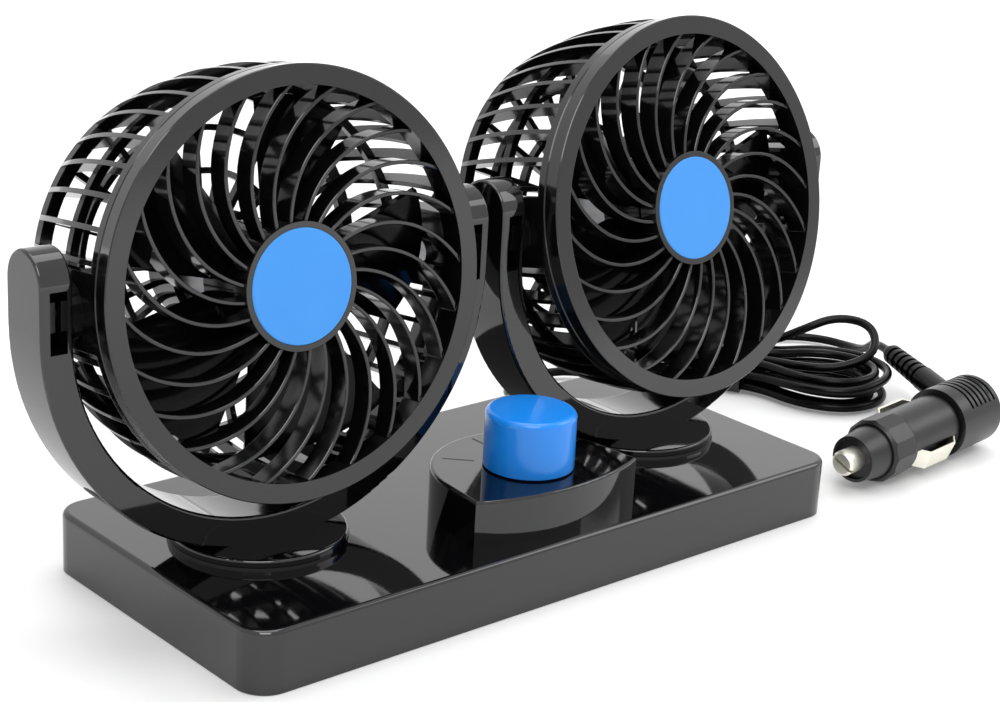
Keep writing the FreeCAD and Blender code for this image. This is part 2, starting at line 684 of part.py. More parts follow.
def make_pivot_nuts():
    """Two square nuts held in the arm pockets."""
    nuts = []
    middle = YOKE_INNER_RADIUS + POCKET_WALL + POCKET_WIDTH / 2
    half = NUT_SIDE / 2
    for side in (-1, 1):
        x = side * middle - NUT_THICKNESS / 2
        nut = box((x, -half, PIVOT_HEIGHT - half), (x + NUT_THICKNESS, half, PIVOT_HEIGHT + half))
        start = Vector(x, 0, PIVOT_HEIGHT)
        nuts.append(nut.cut(Part.makeCylinder(BOLT_RADIUS + RUNNING_GAP, NUT_THICKNESS, start, X_AXIS)))
    return Part.makeCompound(nuts)


# Fan heads, in their own frame: Z along the fan axis to the front, X along the pivots

def rib_arc(inset):
    """Bowed edge of a cage rib from the rim to the rear hoop."""
    front = Vector(RIM_OUTER_RADIUS - RIB_STEP - inset, 0, RIM_REAR + OVERLAP)
    rear = Vector(REAR_HOOP_RADIUS - inset * REAR_HOOP_WIDTH / RIB_DEPTH, 0, HEAD_REAR)
    middle = (front + rear) / 2
    middle.x += RIB_BOW
    return front, middle, rear


def make_rib():
    """One thin axial rib standing on edge."""
    front, middle, rear = rib_arc(0)
    inner_front, inner_middle, inner_rear = rib_arc(RIB_DEPTH)
    edges = [
        Part.Arc(front, middle, rear).toShape(),
        Part.LineSegment(rear, inner_rear).toShape(),
        Part.Arc(inner_rear, inner_middle, inner_front).toShape(),
        Part.LineSegment(inner_front, front).toShape(),
    ]
    face = Part.Face(Part.Wire(edges))
    face.translate(Y_AXIS * (-RIB_THICKNESS / 2))
    return face.extrude(Y_AXIS * RIB_THICKNESS)


def mid_hoop_radius():
    """Outer radius of the middle hoop, let into the ribs' inner edges."""
    front, middle, rear = rib_arc(RIB_DEPTH)
    curve = Part.Arc(front, middle, rear).toShape()
    cutter = Part.makeLine(Vector(0, 0, MID_HOOP_PLACE), Vector(2 * RIM_OUTER_RADIUS, 0, MID_HOOP_PLACE))
    return curve.distToShape(cutter)[1][0][0].x + OVERLAP


def make_rear_cage():
    """Open cage: rim, axial ribs, hoops, rear guard, motor cup and pivot pads."""
    rim = revolve_profile(
        [
            (RIM_INNER_RADIUS, HEAD_SEAM),
            (RIM_OUTER_RADIUS - SEAM_CHAMFER, HEAD_SEAM),
            (RIM_OUTER_RADIUS, HEAD_SEAM - SEAM_CHAMFER),
            (RIM_OUTER_RADIUS, RIM_REAR),
            (RIM_INNER_RADIUS, RIM_REAR),
        ]
    )
    ribs = turned_copies(make_rib(), RIB_COUNT, 180.0 / RIB_COUNT)
    hoop_outer = mid_hoop_radius()
    half = MID_HOOP_THICKNESS / 2
    mid_hoop = tube(hoop_outer, hoop_outer - MID_HOOP_WIDTH, MID_HOOP_PLACE - half, MID_HOOP_PLACE + half)
    guard_front = HEAD_REAR + REAR_HOOP_THICKNESS
    rear_hoop = tube(REAR_HOOP_RADIUS, REAR_HOOP_RADIUS - REAR_HOOP_WIDTH, HEAD_REAR, guard_front)
    bar = box(
        (MOTOR_RADIUS, -GUARD_BAR_WIDTH / 2, HEAD_REAR),
        (REAR_HOOP_RADIUS - OVERLAP, GUARD_BAR_WIDTH / 2, guard_front),
    )
    bars = turned_copies(bar, GUARD_BAR_COUNT, 90.0 / GUARD_BAR_COUNT)
    hoops = []
    for radius in GUARD_HOOP_RADII:
        half = GUARD_HOOP_WIDTH / 2
        hoops.append(tube(radius + half, radius - half, HEAD_REAR, guard_front))
    cup = cylinder(MOTOR_CUP_RADIUS, HEAD_REAR, guard_front + MOTOR_CUP_DEPTH)
    pads = []
    for side in (-1, 1):
        pad = box(
            (min(side * PAD_INNER, side * RIM_OUTER_RADIUS), -PAD_HALF_WIDTH, MID_HOOP_PLACE),
            (max(side * PAD_INNER, side * RIM_OUTER_RADIUS), PAD_HALF_WIDTH, RIM_REAR + OVERLAP),
        )
        pads.append(pad.common(cylinder(RIM_OUTER_RADIUS, MID_HOOP_PLACE, RIM_REAR + OVERLAP)))
        start = Vector(side * PAD_INNER, 0, 0)
        pads.append(Part.makeCylinder(TRUNNION_RADIUS, TRUNNION_FACE - PAD_INNER, start, X_AXIS * side))
    cage = joined([rim] + ribs + [mid_hoop, rear_hoop] + bars + hoops + [cup] + pads)
    cuts = [cylinder(MOTOR_RADIUS + ASSEMBLY_GAP, MOTOR_REAR, guard_front + MOTOR_CUP_DEPTH + OVERLAP)]
    for side in (-1, 1):
        start = Vector(side * (PAD_INNER - OVERLAP), 0, 0)
        length = TRUNNION_FACE - PAD_INNER + 2 * OVERLAP
        cuts.append(Part.makeCylinder(BOLT_RADIUS + ASSEMBLY_GAP, length, start, X_AXIS * side))
        head_start = Vector(side * (PAD_INNER - RIB_DEPTH), 0, 0)
        cuts.append(Part.makeCylinder(BOLT_HEAD_RADIUS + ASSEMBLY_GAP, RIB_DEPTH, head_start, X_AXIS * side))
        hole_radius = MOTOR_SCREW_RADIUS + ASSEMBLY_GAP
        x = side * MOTOR_SCREW_OFFSET
        cuts.append(cylinder(hole_radius, HEAD_REAR - OVERLAP, MOTOR_REAR + OVERLAP, x))
    return one_solid(cage.cut(cuts[0].multiFuse(cuts[1:])))


def make_vane():
    """One swirl vane: a thin plate on a circular arc from the bezel to the hub."""
    outer = polar(APERTURE_RADIUS + OVERLAP, 0)
    middle = polar(VANE_MID_RADIUS, VANE_MID_TURN)
    inner = polar(GRILLE_HUB_RADIUS - OVERLAP, VANE_HUB_TURN)
    centre = Part.Arc(outer, middle, inner).toShape().Curve.Center
    half = VANE_THICKNESS / 2

    def shifted(point, offset):
        away = point - centre
        return point + away.normalize() * offset

    edges = [
        Part.Arc(shifted(outer, half), shifted(middle, half), shifted(inner, half)).toShape(),
        Part.LineSegment(shifted(inner, half), shifted(inner, -half)).toShape(),
        Part.Arc(shifted(inner, -half), shifted(middle, -half), shifted(outer, -half)).toShape(),
        Part.LineSegment(shifted(outer, -half), shifted(outer, half)).toShape(),
    ]
    face = Part.Face(Part.Wire(edges))
    face.translate(Z_AXIS * VANE_REAR)
    return face.extrude(Z_AXIS * (VANE_FRONT - VANE_REAR))


def make_front_grille():
    """Bezel ring, swirl vanes and the hub that carries the round badge."""
    bezel = revolve_profile(
        [
            (APERTURE_RADIUS, HEAD_FRONT),
            (BEZEL_FRONT_RADIUS - BEZEL_CHAMFER, HEAD_FRONT),
            (BEZEL_FRONT_RADIUS, HEAD_FRONT - BEZEL_CHAMFER),
            (RIM_OUTER_RADIUS, HEAD_SEAM + SEAM_CHAMFER),
            (RIM_OUTER_RADIUS - SEAM_CHAMFER, HEAD_SEAM),
            (RIM_INNER_RADIUS - ASSEMBLY_GAP, HEAD_SEAM),
            (RIM_INNER_RADIUS - ASSEMBLY_GAP, VANE_REAR),
            (APERTURE_RADIUS, VANE_REAR),
        ]
    )
    hub = cylinder(GRILLE_HUB_RADIUS, GRILLE_HUB_REAR, GRILLE_HUB_FRONT)
    recess_floor = HEAD_FRONT - BADGE_THICKNESS
    recess = cylinder(BADGE_RADIUS + ASSEMBLY_GAP, recess_floor, GRILLE_HUB_FRONT + OVERLAP)
    grille = joined([bezel, hub] + turned_copies(make_vane(), VANE_COUNT))
    return one_solid(grille.cut(recess))


def make_hub_badge():
    """Flat round disc in the hub's recess."""
    disc = cylinder(BADGE_RADIUS, HEAD_FRONT - BADGE_THICKNESS, HEAD_FRONT)
    rim = edges_where(disc, lambda point: point.z > HEAD_FRONT - NEAR)
    return disc.makeFillet(BADGE_EDGE_RADIUS, rim[:1])


def make_motor():
    """Can motor with a front bearing boss."""
    can = cylinder(MOTOR_RADIUS, MOTOR_REAR, MOTOR_FRONT)
    rim = edges_where(can, lambda point: point.z > MOTOR_FRONT - NEAR)
    can = can.makeFillet(MOTOR_EDGE_RADIUS, rim[:1])
    boss = cylinder(MOTOR_BOSS_RADIUS, MOTOR_FRONT - OVERLAP, MOTOR_BOSS_FRONT)
    bore = cylinder(MOTOR_SHAFT_RADIUS + RUNNING_GAP, MOTOR_BORE_REAR, MOTOR_BOSS_FRONT)
    motor = can.fuse(boss).cut(bore)
    for side in (-1, 1):
        top = MOTOR_REAR + MOTOR_SCREW_DEPTH + ASSEMBLY_GAP
        hole_radius = MOTOR_SCREW_RADIUS + ASSEMBLY_GAP
        motor = motor.cut(cylinder(hole_radius, MOTOR_REAR, top, side * MOTOR_SCREW_OFFSET))
    return one_solid(motor)


def make_motor_screws():
    """Two slotted screws through the guard into the motor."""
    screws = []
    for side in (-1, 1):
        x = side * MOTOR_SCREW_OFFSET
        head_rear = HEAD_REAR - MOTOR_SCREW_HEAD_HEIGHT
        head = cylinder(MOTOR_SCREW_HEAD_RADIUS, head_rear, HEAD_REAR, x)
        shank = cylinder(MOTOR_SCREW_RADIUS, HEAD_REAR - OVERLAP, MOTOR_REAR + MOTOR_SCREW_DEPTH, x)
        reach = MOTOR_SCREW_HEAD_RADIUS + OVERLAP
        slot = box(
            (x - reach, -SLOT_WIDTH / 2, head_rear - OVERLAP),
            (x + reach, SLOT_WIDTH / 2, head_rear + SLOT_DEPTH),
        )
        screws.append(one_solid(head.fuse(shank).cut(slot)))
    return Part.makeCompound(screws)


def make_motor_shaft():
    """Steel shaft from the motor into the impeller's hub."""
    return cylinder(MOTOR_SHAFT_RADIUS, MOTOR_BORE_REAR + MOVING_GAP, MOTOR_SHAFT_FRONT)


def blade_section(radius, chord, pitch):
    """Cambered plate section across a blade, at a distance from the axis."""
    angle = math.radians(pitch)
    along = Vector(0, math.cos(angle), math.sin(angle))
    across = Vector(0, -math.sin(angle), math.cos(angle))
    centre = Vector(radius, 0, BLADE_PLACE)
    half = BLADE_THICKNESS / 2
    nose = centre + along * (chord / 2)
    tail = centre - along * (chord / 2)
    crown = centre + across * (chord * BLADE_CAMBER)
    edges = [
        Part.Arc(nose + across * half, crown + across * half, tail + across * half).toShape(),
        Part.LineSegment(tail + across * half, tail - across * half).toShape(),
        Part.Arc(tail - across * half, crown - across * half, nose - across * half).toShape(),
        Part.LineSegment(nose - across * half, nose + across * half).toShape(),
    ]
    return Part.Wire(edges)


def make_impeller():
    """Cup-shaped hub with wide twisted blades."""
    hub = cylinder(IMPELLER_HUB_RADIUS, IMPELLER_HUB_REAR, IMPELLER_HUB_FRONT)
    front_edge = edges_where(hub, lambda point: point.z > IMPELLER_HUB_FRONT - NEAR)[:1]
    hub = hub.makeFillet(IMPELLER_HUB_EDGE, front_edge)
    tip_radius = mid_hoop_radius() - MID_HOOP_WIDTH - BLADE_TIP_GAP
    root = blade_section(IMPELLER_CUP_RADIUS - 2 * OVERLAP, BLADE_ROOT_CHORD, BLADE_ROOT_PITCH)
    tip = blade_section(tip_radius + OVERLAP, BLADE_TIP_CHORD, BLADE_TIP_PITCH)
    blade = Part.makeLoft([root, tip], True, True)
    reach = cylinder(tip_radius, HEAD_REAR, HEAD_FRONT)
    blade = blade.common(reach)
    impeller = joined([hub] + turned_copies(blade, BLADE_COUNT))
    cup = cylinder(IMPELLER_CUP_RADIUS, HEAD_REAR, IMPELLER_HUB_FRONT - IMPELLER_HUB_CAP)
    boss_rear = MOTOR_BOSS_FRONT + MOVING_GAP
    boss = cylinder(IMPELLER_BOSS_RADIUS, boss_rear, IMPELLER_HUB_FRONT - IMPELLER_HUB_EDGE)
    impeller = joined([impeller.cut(cup), boss])
    bore = cylinder(MOTOR_SHAFT_RADIUS + ASSEMBLY_GAP, boss_rear, MOTOR_SHAFT_FRONT + ASSEMBLY_GAP)
    return one_solid(impeller.cut(bore))


def make_pivot_bolts():
    """Two pan-head bolts from inside the pads out through the arms."""
    bolts = []
    pocket_out = YOKE_INNER_RADIUS + POCKET_WALL + POCKET_WIDTH
    end = pocket_out + BOLT_END_DEPTH
    for side in (-1, 1):
        head_start = Vector(side * (PAD_INNER - BOLT_HEAD_HEIGHT), 0, 0)
        head = Part.makeCylinder(BOLT_HEAD_RADIUS, BOLT_HEAD_HEIGHT, head_start, X_AXIS * side)
        shank_start = Vector(side * (PAD_INNER - OVERLAP), 0, 0)
        shank = Part.makeCylinder(BOLT_RADIUS, end - PAD_INNER + OVERLAP, shank_start, X_AXIS * side)
        bolts.append(one_solid(head.fuse(shank)))
    return Part.makeCompound(bolts)


# Cord

def arc_from(start, tangent, end):
    """Edge that leaves start along tangent and ends at end."""
    chord = end - start
    along = Vector(chord).normalize()
    side = tangent - along * tangent.dot(along)
    if side.Length < 1e-6:
        return Part.LineSegment(start, end).toShape()
    angle = math.acos(max(-1.0, min(1.0, tangent.dot(along))))
    middle = (start + end) / 2 + side.normalize() * (chord.Length / 2 * math.tan(angle / 2))
    return Part.Arc(start, middle, end).toShape()


def biarc(start, start_tangent, end, end_tangent):
    """Two tangent arcs between two points with given directions."""
    chord = end - start
    square = chord.dot(chord)
    lead = -2 * chord.dot(start_tangent + end_tangent)
    bend = 2 * (start_tangent.dot(end_tangent) - 1)
    if abs(bend) < 1e-9:
        reach = -square / lead
    else:
        reach = (-lead - math.sqrt(lead * lead - 4 * bend * square)) / (2 * bend)
    first = start + start_tangent * reach
    second = end - end_tangent * reach
    middle = (first + second) / 2
    tangent = (second - first).normalize()
    return [arc_from(start, start_tangent, middle), arc_from(middle, tangent, end)]


def hank_frame():
    """Placement of the hank on the floor."""
    rotation = FreeCAD.Rotation(Z_AXIS, HANK_HEADING)
    return FreeCAD.Placement(Vector(HANK_CENTRE[0], HANK_CENTRE[1], 0), rotation)


def hank_stations():
    """Points and directions of the hank's loops, spiralling in on one layer and out on the next."""
    stations = []
    for index in range(STATION_TOTAL + 1):
        layer, step = divmod(index, STATIONS_PER_LAYER)
        depth = (step if layer % 2 == 0 else STATIONS_PER_LAYER - step) / STATIONS_PER_TURN
        lobe = LOBE_RADIUS - LOBE_PITCH * depth
        waist = WAIST_HALF_WIDTH - WAIST_PITCH * depth
        climb = 0.0
        for above in range(1, LAYER_COUNT):
            climb += min(1.0, max(0.0, (index - above * STATIONS_PER_LAYER + 1) / 2))
        height = LAYER_HEIGHT + LAYER_PITCH * climb
        end = LOBE_OFFSET + lobe
        places = [
            (0, -waist, 1, 0),
            (LOBE_OFFSET, -lobe, 1, 0),
            (end, 0, 0, 1),
            (LOBE_OFFSET, lobe, -1, 0),
            (0, waist, -1, 0),
            (-LOBE_OFFSET, lobe, -1, 0),
            (-end, 0, 0, -1),
            (-LOBE_OFFSET, -lobe, 1, 0),
        ]
        x, y, along_x, along_y = places[(FIRST_STATION + index) % STATIONS_PER_TURN]
        stations.append((Vector(x, y, height), Vector(along_x, along_y, 0)))
    return stations


def hank_ends():
    """Start and end of the hank with their directions, in the room's frame."""
    stations = hank_stations()
    frame = hank_frame()
    start, start_tangent = stations[0]
    end, end_tangent = stations[-1]
    start = frame.multVec(start - start_tangent * CORD_DIAMETER)
    end = frame.multVec(end + end_tangent * CORD_DIAMETER)
    return start, frame.Rotation.multVec(start_tangent), end, frame.Rotation.multVec(end_tangent)


def least_gap(wire):
    """Smallest clear distance between stretches of the hank's cord that lie apart along it."""
    points = wire.discretize(Distance=SAMPLE_STEP)
    skip = int(SAMPLE_SKIP * CORD_DIAMETER / SAMPLE_STEP)
    cells = {}
    size = 2 * CORD_DIAMETER
    for index, point in enumerate(points):
        key = (int(point.x // size), int(point.y // size), int(point.z // size))
        cells.setdefault(key, []).append(index)
    least = size
    for (i, j, k), members in cells.items():
        near = []
        for di in (-1, 0, 1):
            for dj in (-1, 0, 1):
                for dk in (-1, 0, 1):
                    near += cells.get((i + di, j + dj, k + dk), [])
        for one in members:
            for other in near:
                if other - one > skip:
                    least = min(least, points[one].distanceToPoint(points[other]))
    return least - CORD_DIAMETER


def swept_cord(wire, start, tangent):
    """Round tube along a wire."""
    ring = Part.Wire(Part.makeCircle(CORD_RADIUS, start, tangent))
    return wire.makePipeShell([ring], True, False)


def make_cord_hank():
    """The stored length: loops drawn in at the waist, one unbroken tube."""
    stations = hank_stations()
    first, first_tangent = stations[0]
    last, last_tangent = stations[-1]
    begin = first - first_tangent * CORD_DIAMETER
    edges = [Part.LineSegment(begin, first).toShape()]
    for (point, tangent), (next_point, next_tangent) in zip(stations, stations[1:]):
        edges += biarc(point, tangent, next_point, next_tangent)
    edges.append(Part.LineSegment(last, last + last_tangent * CORD_DIAMETER).toShape())
    wire = Part.Wire(edges)
    solid = swept_cord(wire, begin, first_tangent)
    expected = wire.Length * math.pi * CORD_RADIUS ** 2
    print("hank length %.0f, volume ratio %.4f, least gap %.2f"
          % (wire.Length, solid.Volume / expected, least_gap(wire)))
    return moved(solid, hank_frame())


def make_cord_tie():
    """Flat strap round the hank's waist."""
    inner_half = WAIST_HALF_WIDTH + CORD_RADIUS + TIE_GAP
    inner_top = LAYER_HEIGHT + (LAYER_COUNT - 1) * LAYER_PITCH + CORD_RADIUS + TIE_GAP
    half = TIE_WIDTH / 2
    outer_half = inner_half + TIE_THICKNESS
    strap = box((-half, -outer_half, 0), (half, outer_half, inner_top + TIE_THICKNESS))
    along = [edge for edge in strap.Edges if abs(edge.tangentAt(edge.FirstParameter).x) > ALIGNED]
    strap = strap.makeFillet(CORD_RADIUS + TIE_GAP + TIE_THICKNESS, along)
    hole = box((-half, -inner_half, TIE_THICKNESS), (half, inner_half, inner_top))
    along = [edge for edge in hole.Edges if abs(edge.tangentAt(edge.FirstParameter).x) > ALIGNED]
    hole = hole.makeFillet(CORD_RADIUS + TIE_GAP, along)
    return moved(one_solid(strap.cut(hole)), hank_frame())


def routed_cord(name, points):
    """Tube along straight runs joined by the largest tangent arcs that they allow."""
    edges = []
    radii = []
    here = points[0]
    for before, corner, after in zip(points, points[1:], points[2:]):
        back = before - corner
        onward = after - corner
        run = min(back.Length, onward.Length)
        turn = math.pi - back.getAngle(onward)
        setback = ARC_SHARE * run
        radii.append(setback / math.tan(turn / 2))
        arc_start = corner + back.normalize() * setback
        arc_end = corner + onward.normalize() * setback
        edges.append(Part.LineSegment(here, arc_start).toShape())
        edges.append(arc_from(arc_start, (corner - arc_start).normalize(), arc_end))
        here = arc_end
    edges.append(Part.LineSegment(here, points[-1]).toShape())
    wire = Part.Wire(edges)
    solid = swept_cord(wire, points[0], (points[1] - points[0]).normalize())
    expected = wire.Length * math.pi * CORD_RADIUS ** 2
    print("%s length %.0f, volume ratio %.4f, radii %s"
          % (name, wire.Length, solid.Volume / expected, ["%.1f" % radius for radius in radii]))
    return solid


def make_cord_gland():
    """Moulded cord outlet in the back wall."""
    wall_out = BASE_WIDTH / 2
    wall_in = wall_out - BASE_WALL
    profile = [
        (0, wall_in - GLAND_FLANGE_THICKNESS),
        (GLAND_FLANGE_RADIUS, wall_in - GLAND_FLANGE_THICKNESS),
        (GLAND_FLANGE_RADIUS, wall_in),
        (GLAND_NECK_RADIUS, wall_in),
        (GLAND_NECK_RADIUS, wall_out),
        (GLAND_FLANGE_RADIUS, wall_out),
        (GLAND_FLANGE_RADIUS, wall_out + GLAND_FLANGE_THICKNESS),
        (GLAND_NECK_RADIUS, wall_out + GLAND_FLANGE_THICKNESS),
        (GLAND_END_RADIUS, wall_out + GLAND_LENGTH),
        (0, wall_out + GLAND_LENGTH),
    ]
    gland = revolve_profile(profile)
    return moved(gland, FreeCAD.Placement(Vector(GLAND_X, 0, GLAND_Z), FreeCAD.Rotation(X_AXIS, -90)))


def make_cord_lead():
    """Cord from the outlet to the hank."""
    start, tangent, end, end_tangent = hank_ends()
    outlet = Vector(GLAND_X, BASE_WIDTH / 2 + GLAND_LENGTH, GLAND_Z)
    points = [outlet, outlet + Y_AXIS * LEAD_FIRST_RUN]
    points += [Vector(*point) for point in LEAD_POINTS]
    points += [start - tangent * LEAD_LAST_RUN, start]
    return routed_cord("lead", points)


def make_cord_tail():
    """Cord from the hank, over it in a raised loop, round to the plug."""
    start, tangent, end, end_tangent = hank_ends()
    frame = hank_frame()
    relief_end, relief_direction = relief_exit()
    points = [end, end + end_tangent * TAIL_FIRST_RUN]
    points += [frame.multVec(Vector(*point)) for point in TAIL_POINTS_ON_HANK]
    points += [Vector(*point) for point in TAIL_POINTS]
    points += [relief_end + relief_direction * TAIL_LAST_RUN, relief_end]
    return routed_cord("tail", points)


# Plug, in its own frame: X from the tip to the rear

def plug_frame():
    """Placement of the plug lying on the floor."""
    slope = math.radians(PLUG_PITCH)
    tip_height = GRIP_RADIUS * math.cos(slope) - GRIP_FRONT * math.sin(slope)
    rotation = FreeCAD.Rotation(Z_AXIS, PLUG_YAW).multiply(FreeCAD.Rotation(Y_AXIS, -PLUG_PITCH))
    return FreeCAD.Placement(Vector(PLUG_TIP_PLACE[0], PLUG_TIP_PLACE[1], tip_height), rotation)


def relief_exit():
    """Where the cord leaves the plug, and its direction there."""
    frame = plug_frame()
    direction = polar(1, RELIEF_ANGLE)
    point = Vector(RELIEF_PLACE, 0, 0) + direction * RELIEF_END
    return frame.multVec(point), frame.Rotation.multVec(direction)


def along_plug(pairs):
    """Outline of (distance from the tip, radius) pairs turned about the plug's axis."""
    turned = revolve_profile([(radius, place) for place, radius in pairs])
    return moved(turned, FreeCAD.Placement(Vector(0, 0, 0), FreeCAD.Rotation(Y_AXIS, 90)))


def make_plug_tip():
    """Split centre contact with a retaining flange."""
    back = TIP_FLANGE_PLACE + TIP_FLANGE_THICKNESS
    tip = along_plug(
        [
            (0, 0),
            (0, TIP_RADIUS - TIP_CHAMFER),
            (TIP_CHAMFER, TIP_RADIUS),
            (TIP_FLANGE_PLACE, TIP_RADIUS),
            (TIP_FLANGE_PLACE, TIP_FLANGE_RADIUS),
            (back, TIP_FLANGE_RADIUS),
            (back, 0),
        ]
    )
    half = TIP_SLOT_WIDTH / 2
    reach = TIP_RADIUS + OVERLAP
    slot = box((-OVERLAP, -reach, -half), (TIP_SLOT_DEPTH, reach, half))
    turn = FreeCAD.Placement(Vector(0, 0, 0), FreeCAD.Rotation(X_AXIS, TIP_SLOT_ANGLE))
    return one_solid(tip.cut(moved(slot, turn)))


def make_plug_nose():
    """Tapered nose with a hollow front that guides the tip, and a screw spigot for the collar."""
    bore = TIP_RADIUS + RUNNING_GAP
    flange = TIP_FLANGE_PLACE - SEAT_PLAY
    chamber = TIP_FLANGE_RADIUS + RUNNING_GAP
    return along_plug(
        [
            (TIP_REACH + NOSE_RECESS, bore),
            (TIP_REACH + NOSE_RECESS, NOSE_FRONT_RADIUS - NOSE_LIP),
            (TIP_REACH, NOSE_FRONT_RADIUS - NOSE_LIP),
            (TIP_REACH, NOSE_FRONT_RADIUS),
            (COLLAR_FRONT, NOSE_REAR_RADIUS),
            (COLLAR_FRONT + COLLAR_LENGTH / 2, NOSE_REAR_RADIUS),
            (COLLAR_FRONT + COLLAR_LENGTH / 2, chamber),
            (flange, chamber),
            (flange, bore),
        ]
    )


def make_plug_collar():
    """Faceted screw collar round the nose."""
    points = [polar(COLLAR_RADIUS, 360.0 * index / COLLAR_SIDES) for index in range(COLLAR_SIDES)]
    upright = prism(points, COLLAR_LENGTH, Z_AXIS)
    frame = FreeCAD.Placement(Vector(COLLAR_FRONT, 0, 0), FreeCAD.Rotation(Y_AXIS, 90))
    collar = moved(upright, frame)
    limit = along_plug(
        [
            (COLLAR_FRONT, 0),
            (COLLAR_FRONT, COLLAR_RADIUS - COLLAR_CHAMFER),
            (COLLAR_FRONT + COLLAR_CHAMFER, COLLAR_RADIUS),
            (COLLAR_REAR - COLLAR_CHAMFER, COLLAR_RADIUS),
            (COLLAR_REAR, COLLAR_RADIUS - COLLAR_CHAMFER / 2),
            (COLLAR_REAR, 0),
        ]
    )
    half = COLLAR_FRONT + COLLAR_LENGTH / 2
    hole = along_plug(
        [
            (COLLAR_FRONT - OVERLAP, 0),
            (COLLAR_FRONT - OVERLAP, NOSE_REAR_RADIUS + ASSEMBLY_GAP),
            (half + ASSEMBLY_GAP, NOSE_REAR_RADIUS + ASSEMBLY_GAP),
            (half + ASSEMBLY_GAP, FUSE_RADIUS + ASSEMBLY_GAP),
            (COLLAR_REAR + OVERLAP, FUSE_RADIUS + ASSEMBLY_GAP),
            (COLLAR_REAR + OVERLAP, 0),
        ]
    )
    return one_solid(collar.common(limit).cut(hole))


def make_plug_body():
    """Main barrel with the fuse chamber and slots for the side contacts."""
    seat_end = GRIP_FRONT + GRIP_SEAT_LENGTH
    body = along_plug(
        [
            (COLLAR_REAR, FUSE_RADIUS + ASSEMBLY_GAP),
            (COLLAR_REAR, PLUG_BODY_RADIUS),
            (GRIP_FRONT - GRIP_SEAM, PLUG_BODY_RADIUS),
            (GRIP_FRONT - GRIP_SEAM, GRIP_SEAT_RADIUS),
            (seat_end, GRIP_SEAT_RADIUS),
            (seat_end, 0),
            (FUSE_REAR, 0),
            (FUSE_REAR, FUSE_RADIUS + ASSEMBLY_GAP),
        ]
    )
    for pocket in contact_forms(ASSEMBLY_GAP, CONTACT_THICKNESS + ASSEMBLY_GAP):
        body = body.cut(pocket)
    return one_solid(body)


def contact_forms(gap, sink):
    """Blocks that the two side contacts lie in, grown by a gap."""
    forms = []
    half = CONTACT_WIDTH / 2 + gap
    for angle in (CONTACT_ANGLE, CONTACT_ANGLE + 180):
        low = PLUG_BODY_RADIUS - sink - CONTACT_RISE
        block = box(
            (CONTACT_FRONT - gap, low, -half),
            (CONTACT_REAR + gap, PLUG_BODY_RADIUS + CONTACT_RISE, half),
        )
        forms.append(moved(block, FreeCAD.Placement(Vector(0, 0, 0), contact_turn(angle))))
    return forms


def contact_turn(angle):
    """Turn about the plug's axis that brings a contact to its side."""
    return FreeCAD.Rotation(X_AXIS, 180 - angle)


def make_plug_contacts():
    """Two bridge-shaped spring strips on opposite sides of the barrel."""
    contacts = []
    seat = PLUG_BODY_RADIUS - CONTACT_RISE - CONTACT_THICKNESS
    crest = PLUG_BODY_RADIUS + CONTACT_RISE - CONTACT_THICKNESS
    half = CONTACT_WIDTH / 2
    lower = [
        Vector(CONTACT_FRONT, seat, -half),
        Vector(CONTACT_FRONT + CONTACT_RAMP, crest, -half),
        Vector(CONTACT_REAR - CONTACT_RAMP, crest, -half),
        Vector(CONTACT_REAR, seat, -half),
    ]
    upper = [point + Y_AXIS * CONTACT_THICKNESS for point in lower]
    strip = prism(lower + upper[::-1], CONTACT_WIDTH, Z_AXIS)
    for angle in (CONTACT_ANGLE, CONTACT_ANGLE + 180):
        contacts.append(moved(strip, FreeCAD.Placement(Vector(0, 0, 0), contact_turn(angle))))
    return Part.makeCompound(contacts)


def make_plug_fuse():
    """Tube fuse with end caps, in the barrel's bore."""
    front_cap = FUSE_FRONT + FUSE_CAP_LENGTH
    rear_cap = FUSE_REAR - FUSE_CAP_LENGTH
    glass = FUSE_RADIUS - FUSE_CAP_STEP
    return along_plug(
        [
            (FUSE_FRONT, 0),
            (FUSE_FRONT, FUSE_RADIUS),
            (front_cap, FUSE_RADIUS),
            (front_cap, glass),
            (rear_cap, glass),
            (rear_cap, FUSE_RADIUS),
            (FUSE_REAR, FUSE_RADIUS),
            (FUSE_REAR, 0),
        ]
    )


def make_plug_spring():
    """Coil spring between the fuse and the tip."""
    begin = TIP_FLANGE_PLACE + TIP_FLANGE_THICKNESS + SPRING_WIRE_RADIUS + ASSEMBLY_GAP
    end = FUSE_FRONT - SPRING_WIRE_RADIUS - ASSEMBLY_GAP
    pitch = (end - begin) / SPRING_TURNS
    helix = Part.makeHelix(pitch, end - begin, SPRING_RADIUS)
    start = Vector(SPRING_RADIUS, 0, 0)
    ring = Part.Wire(Part.makeCircle(SPRING_WIRE_RADIUS, start, Y_AXIS))
    coil = Part.Wire(helix.Edges).makePipeShell([ring], True, True)
    return moved(coil, FreeCAD.Placement(Vector(begin, 0, 0), FreeCAD.Rotation(Y_AXIS, 90)))


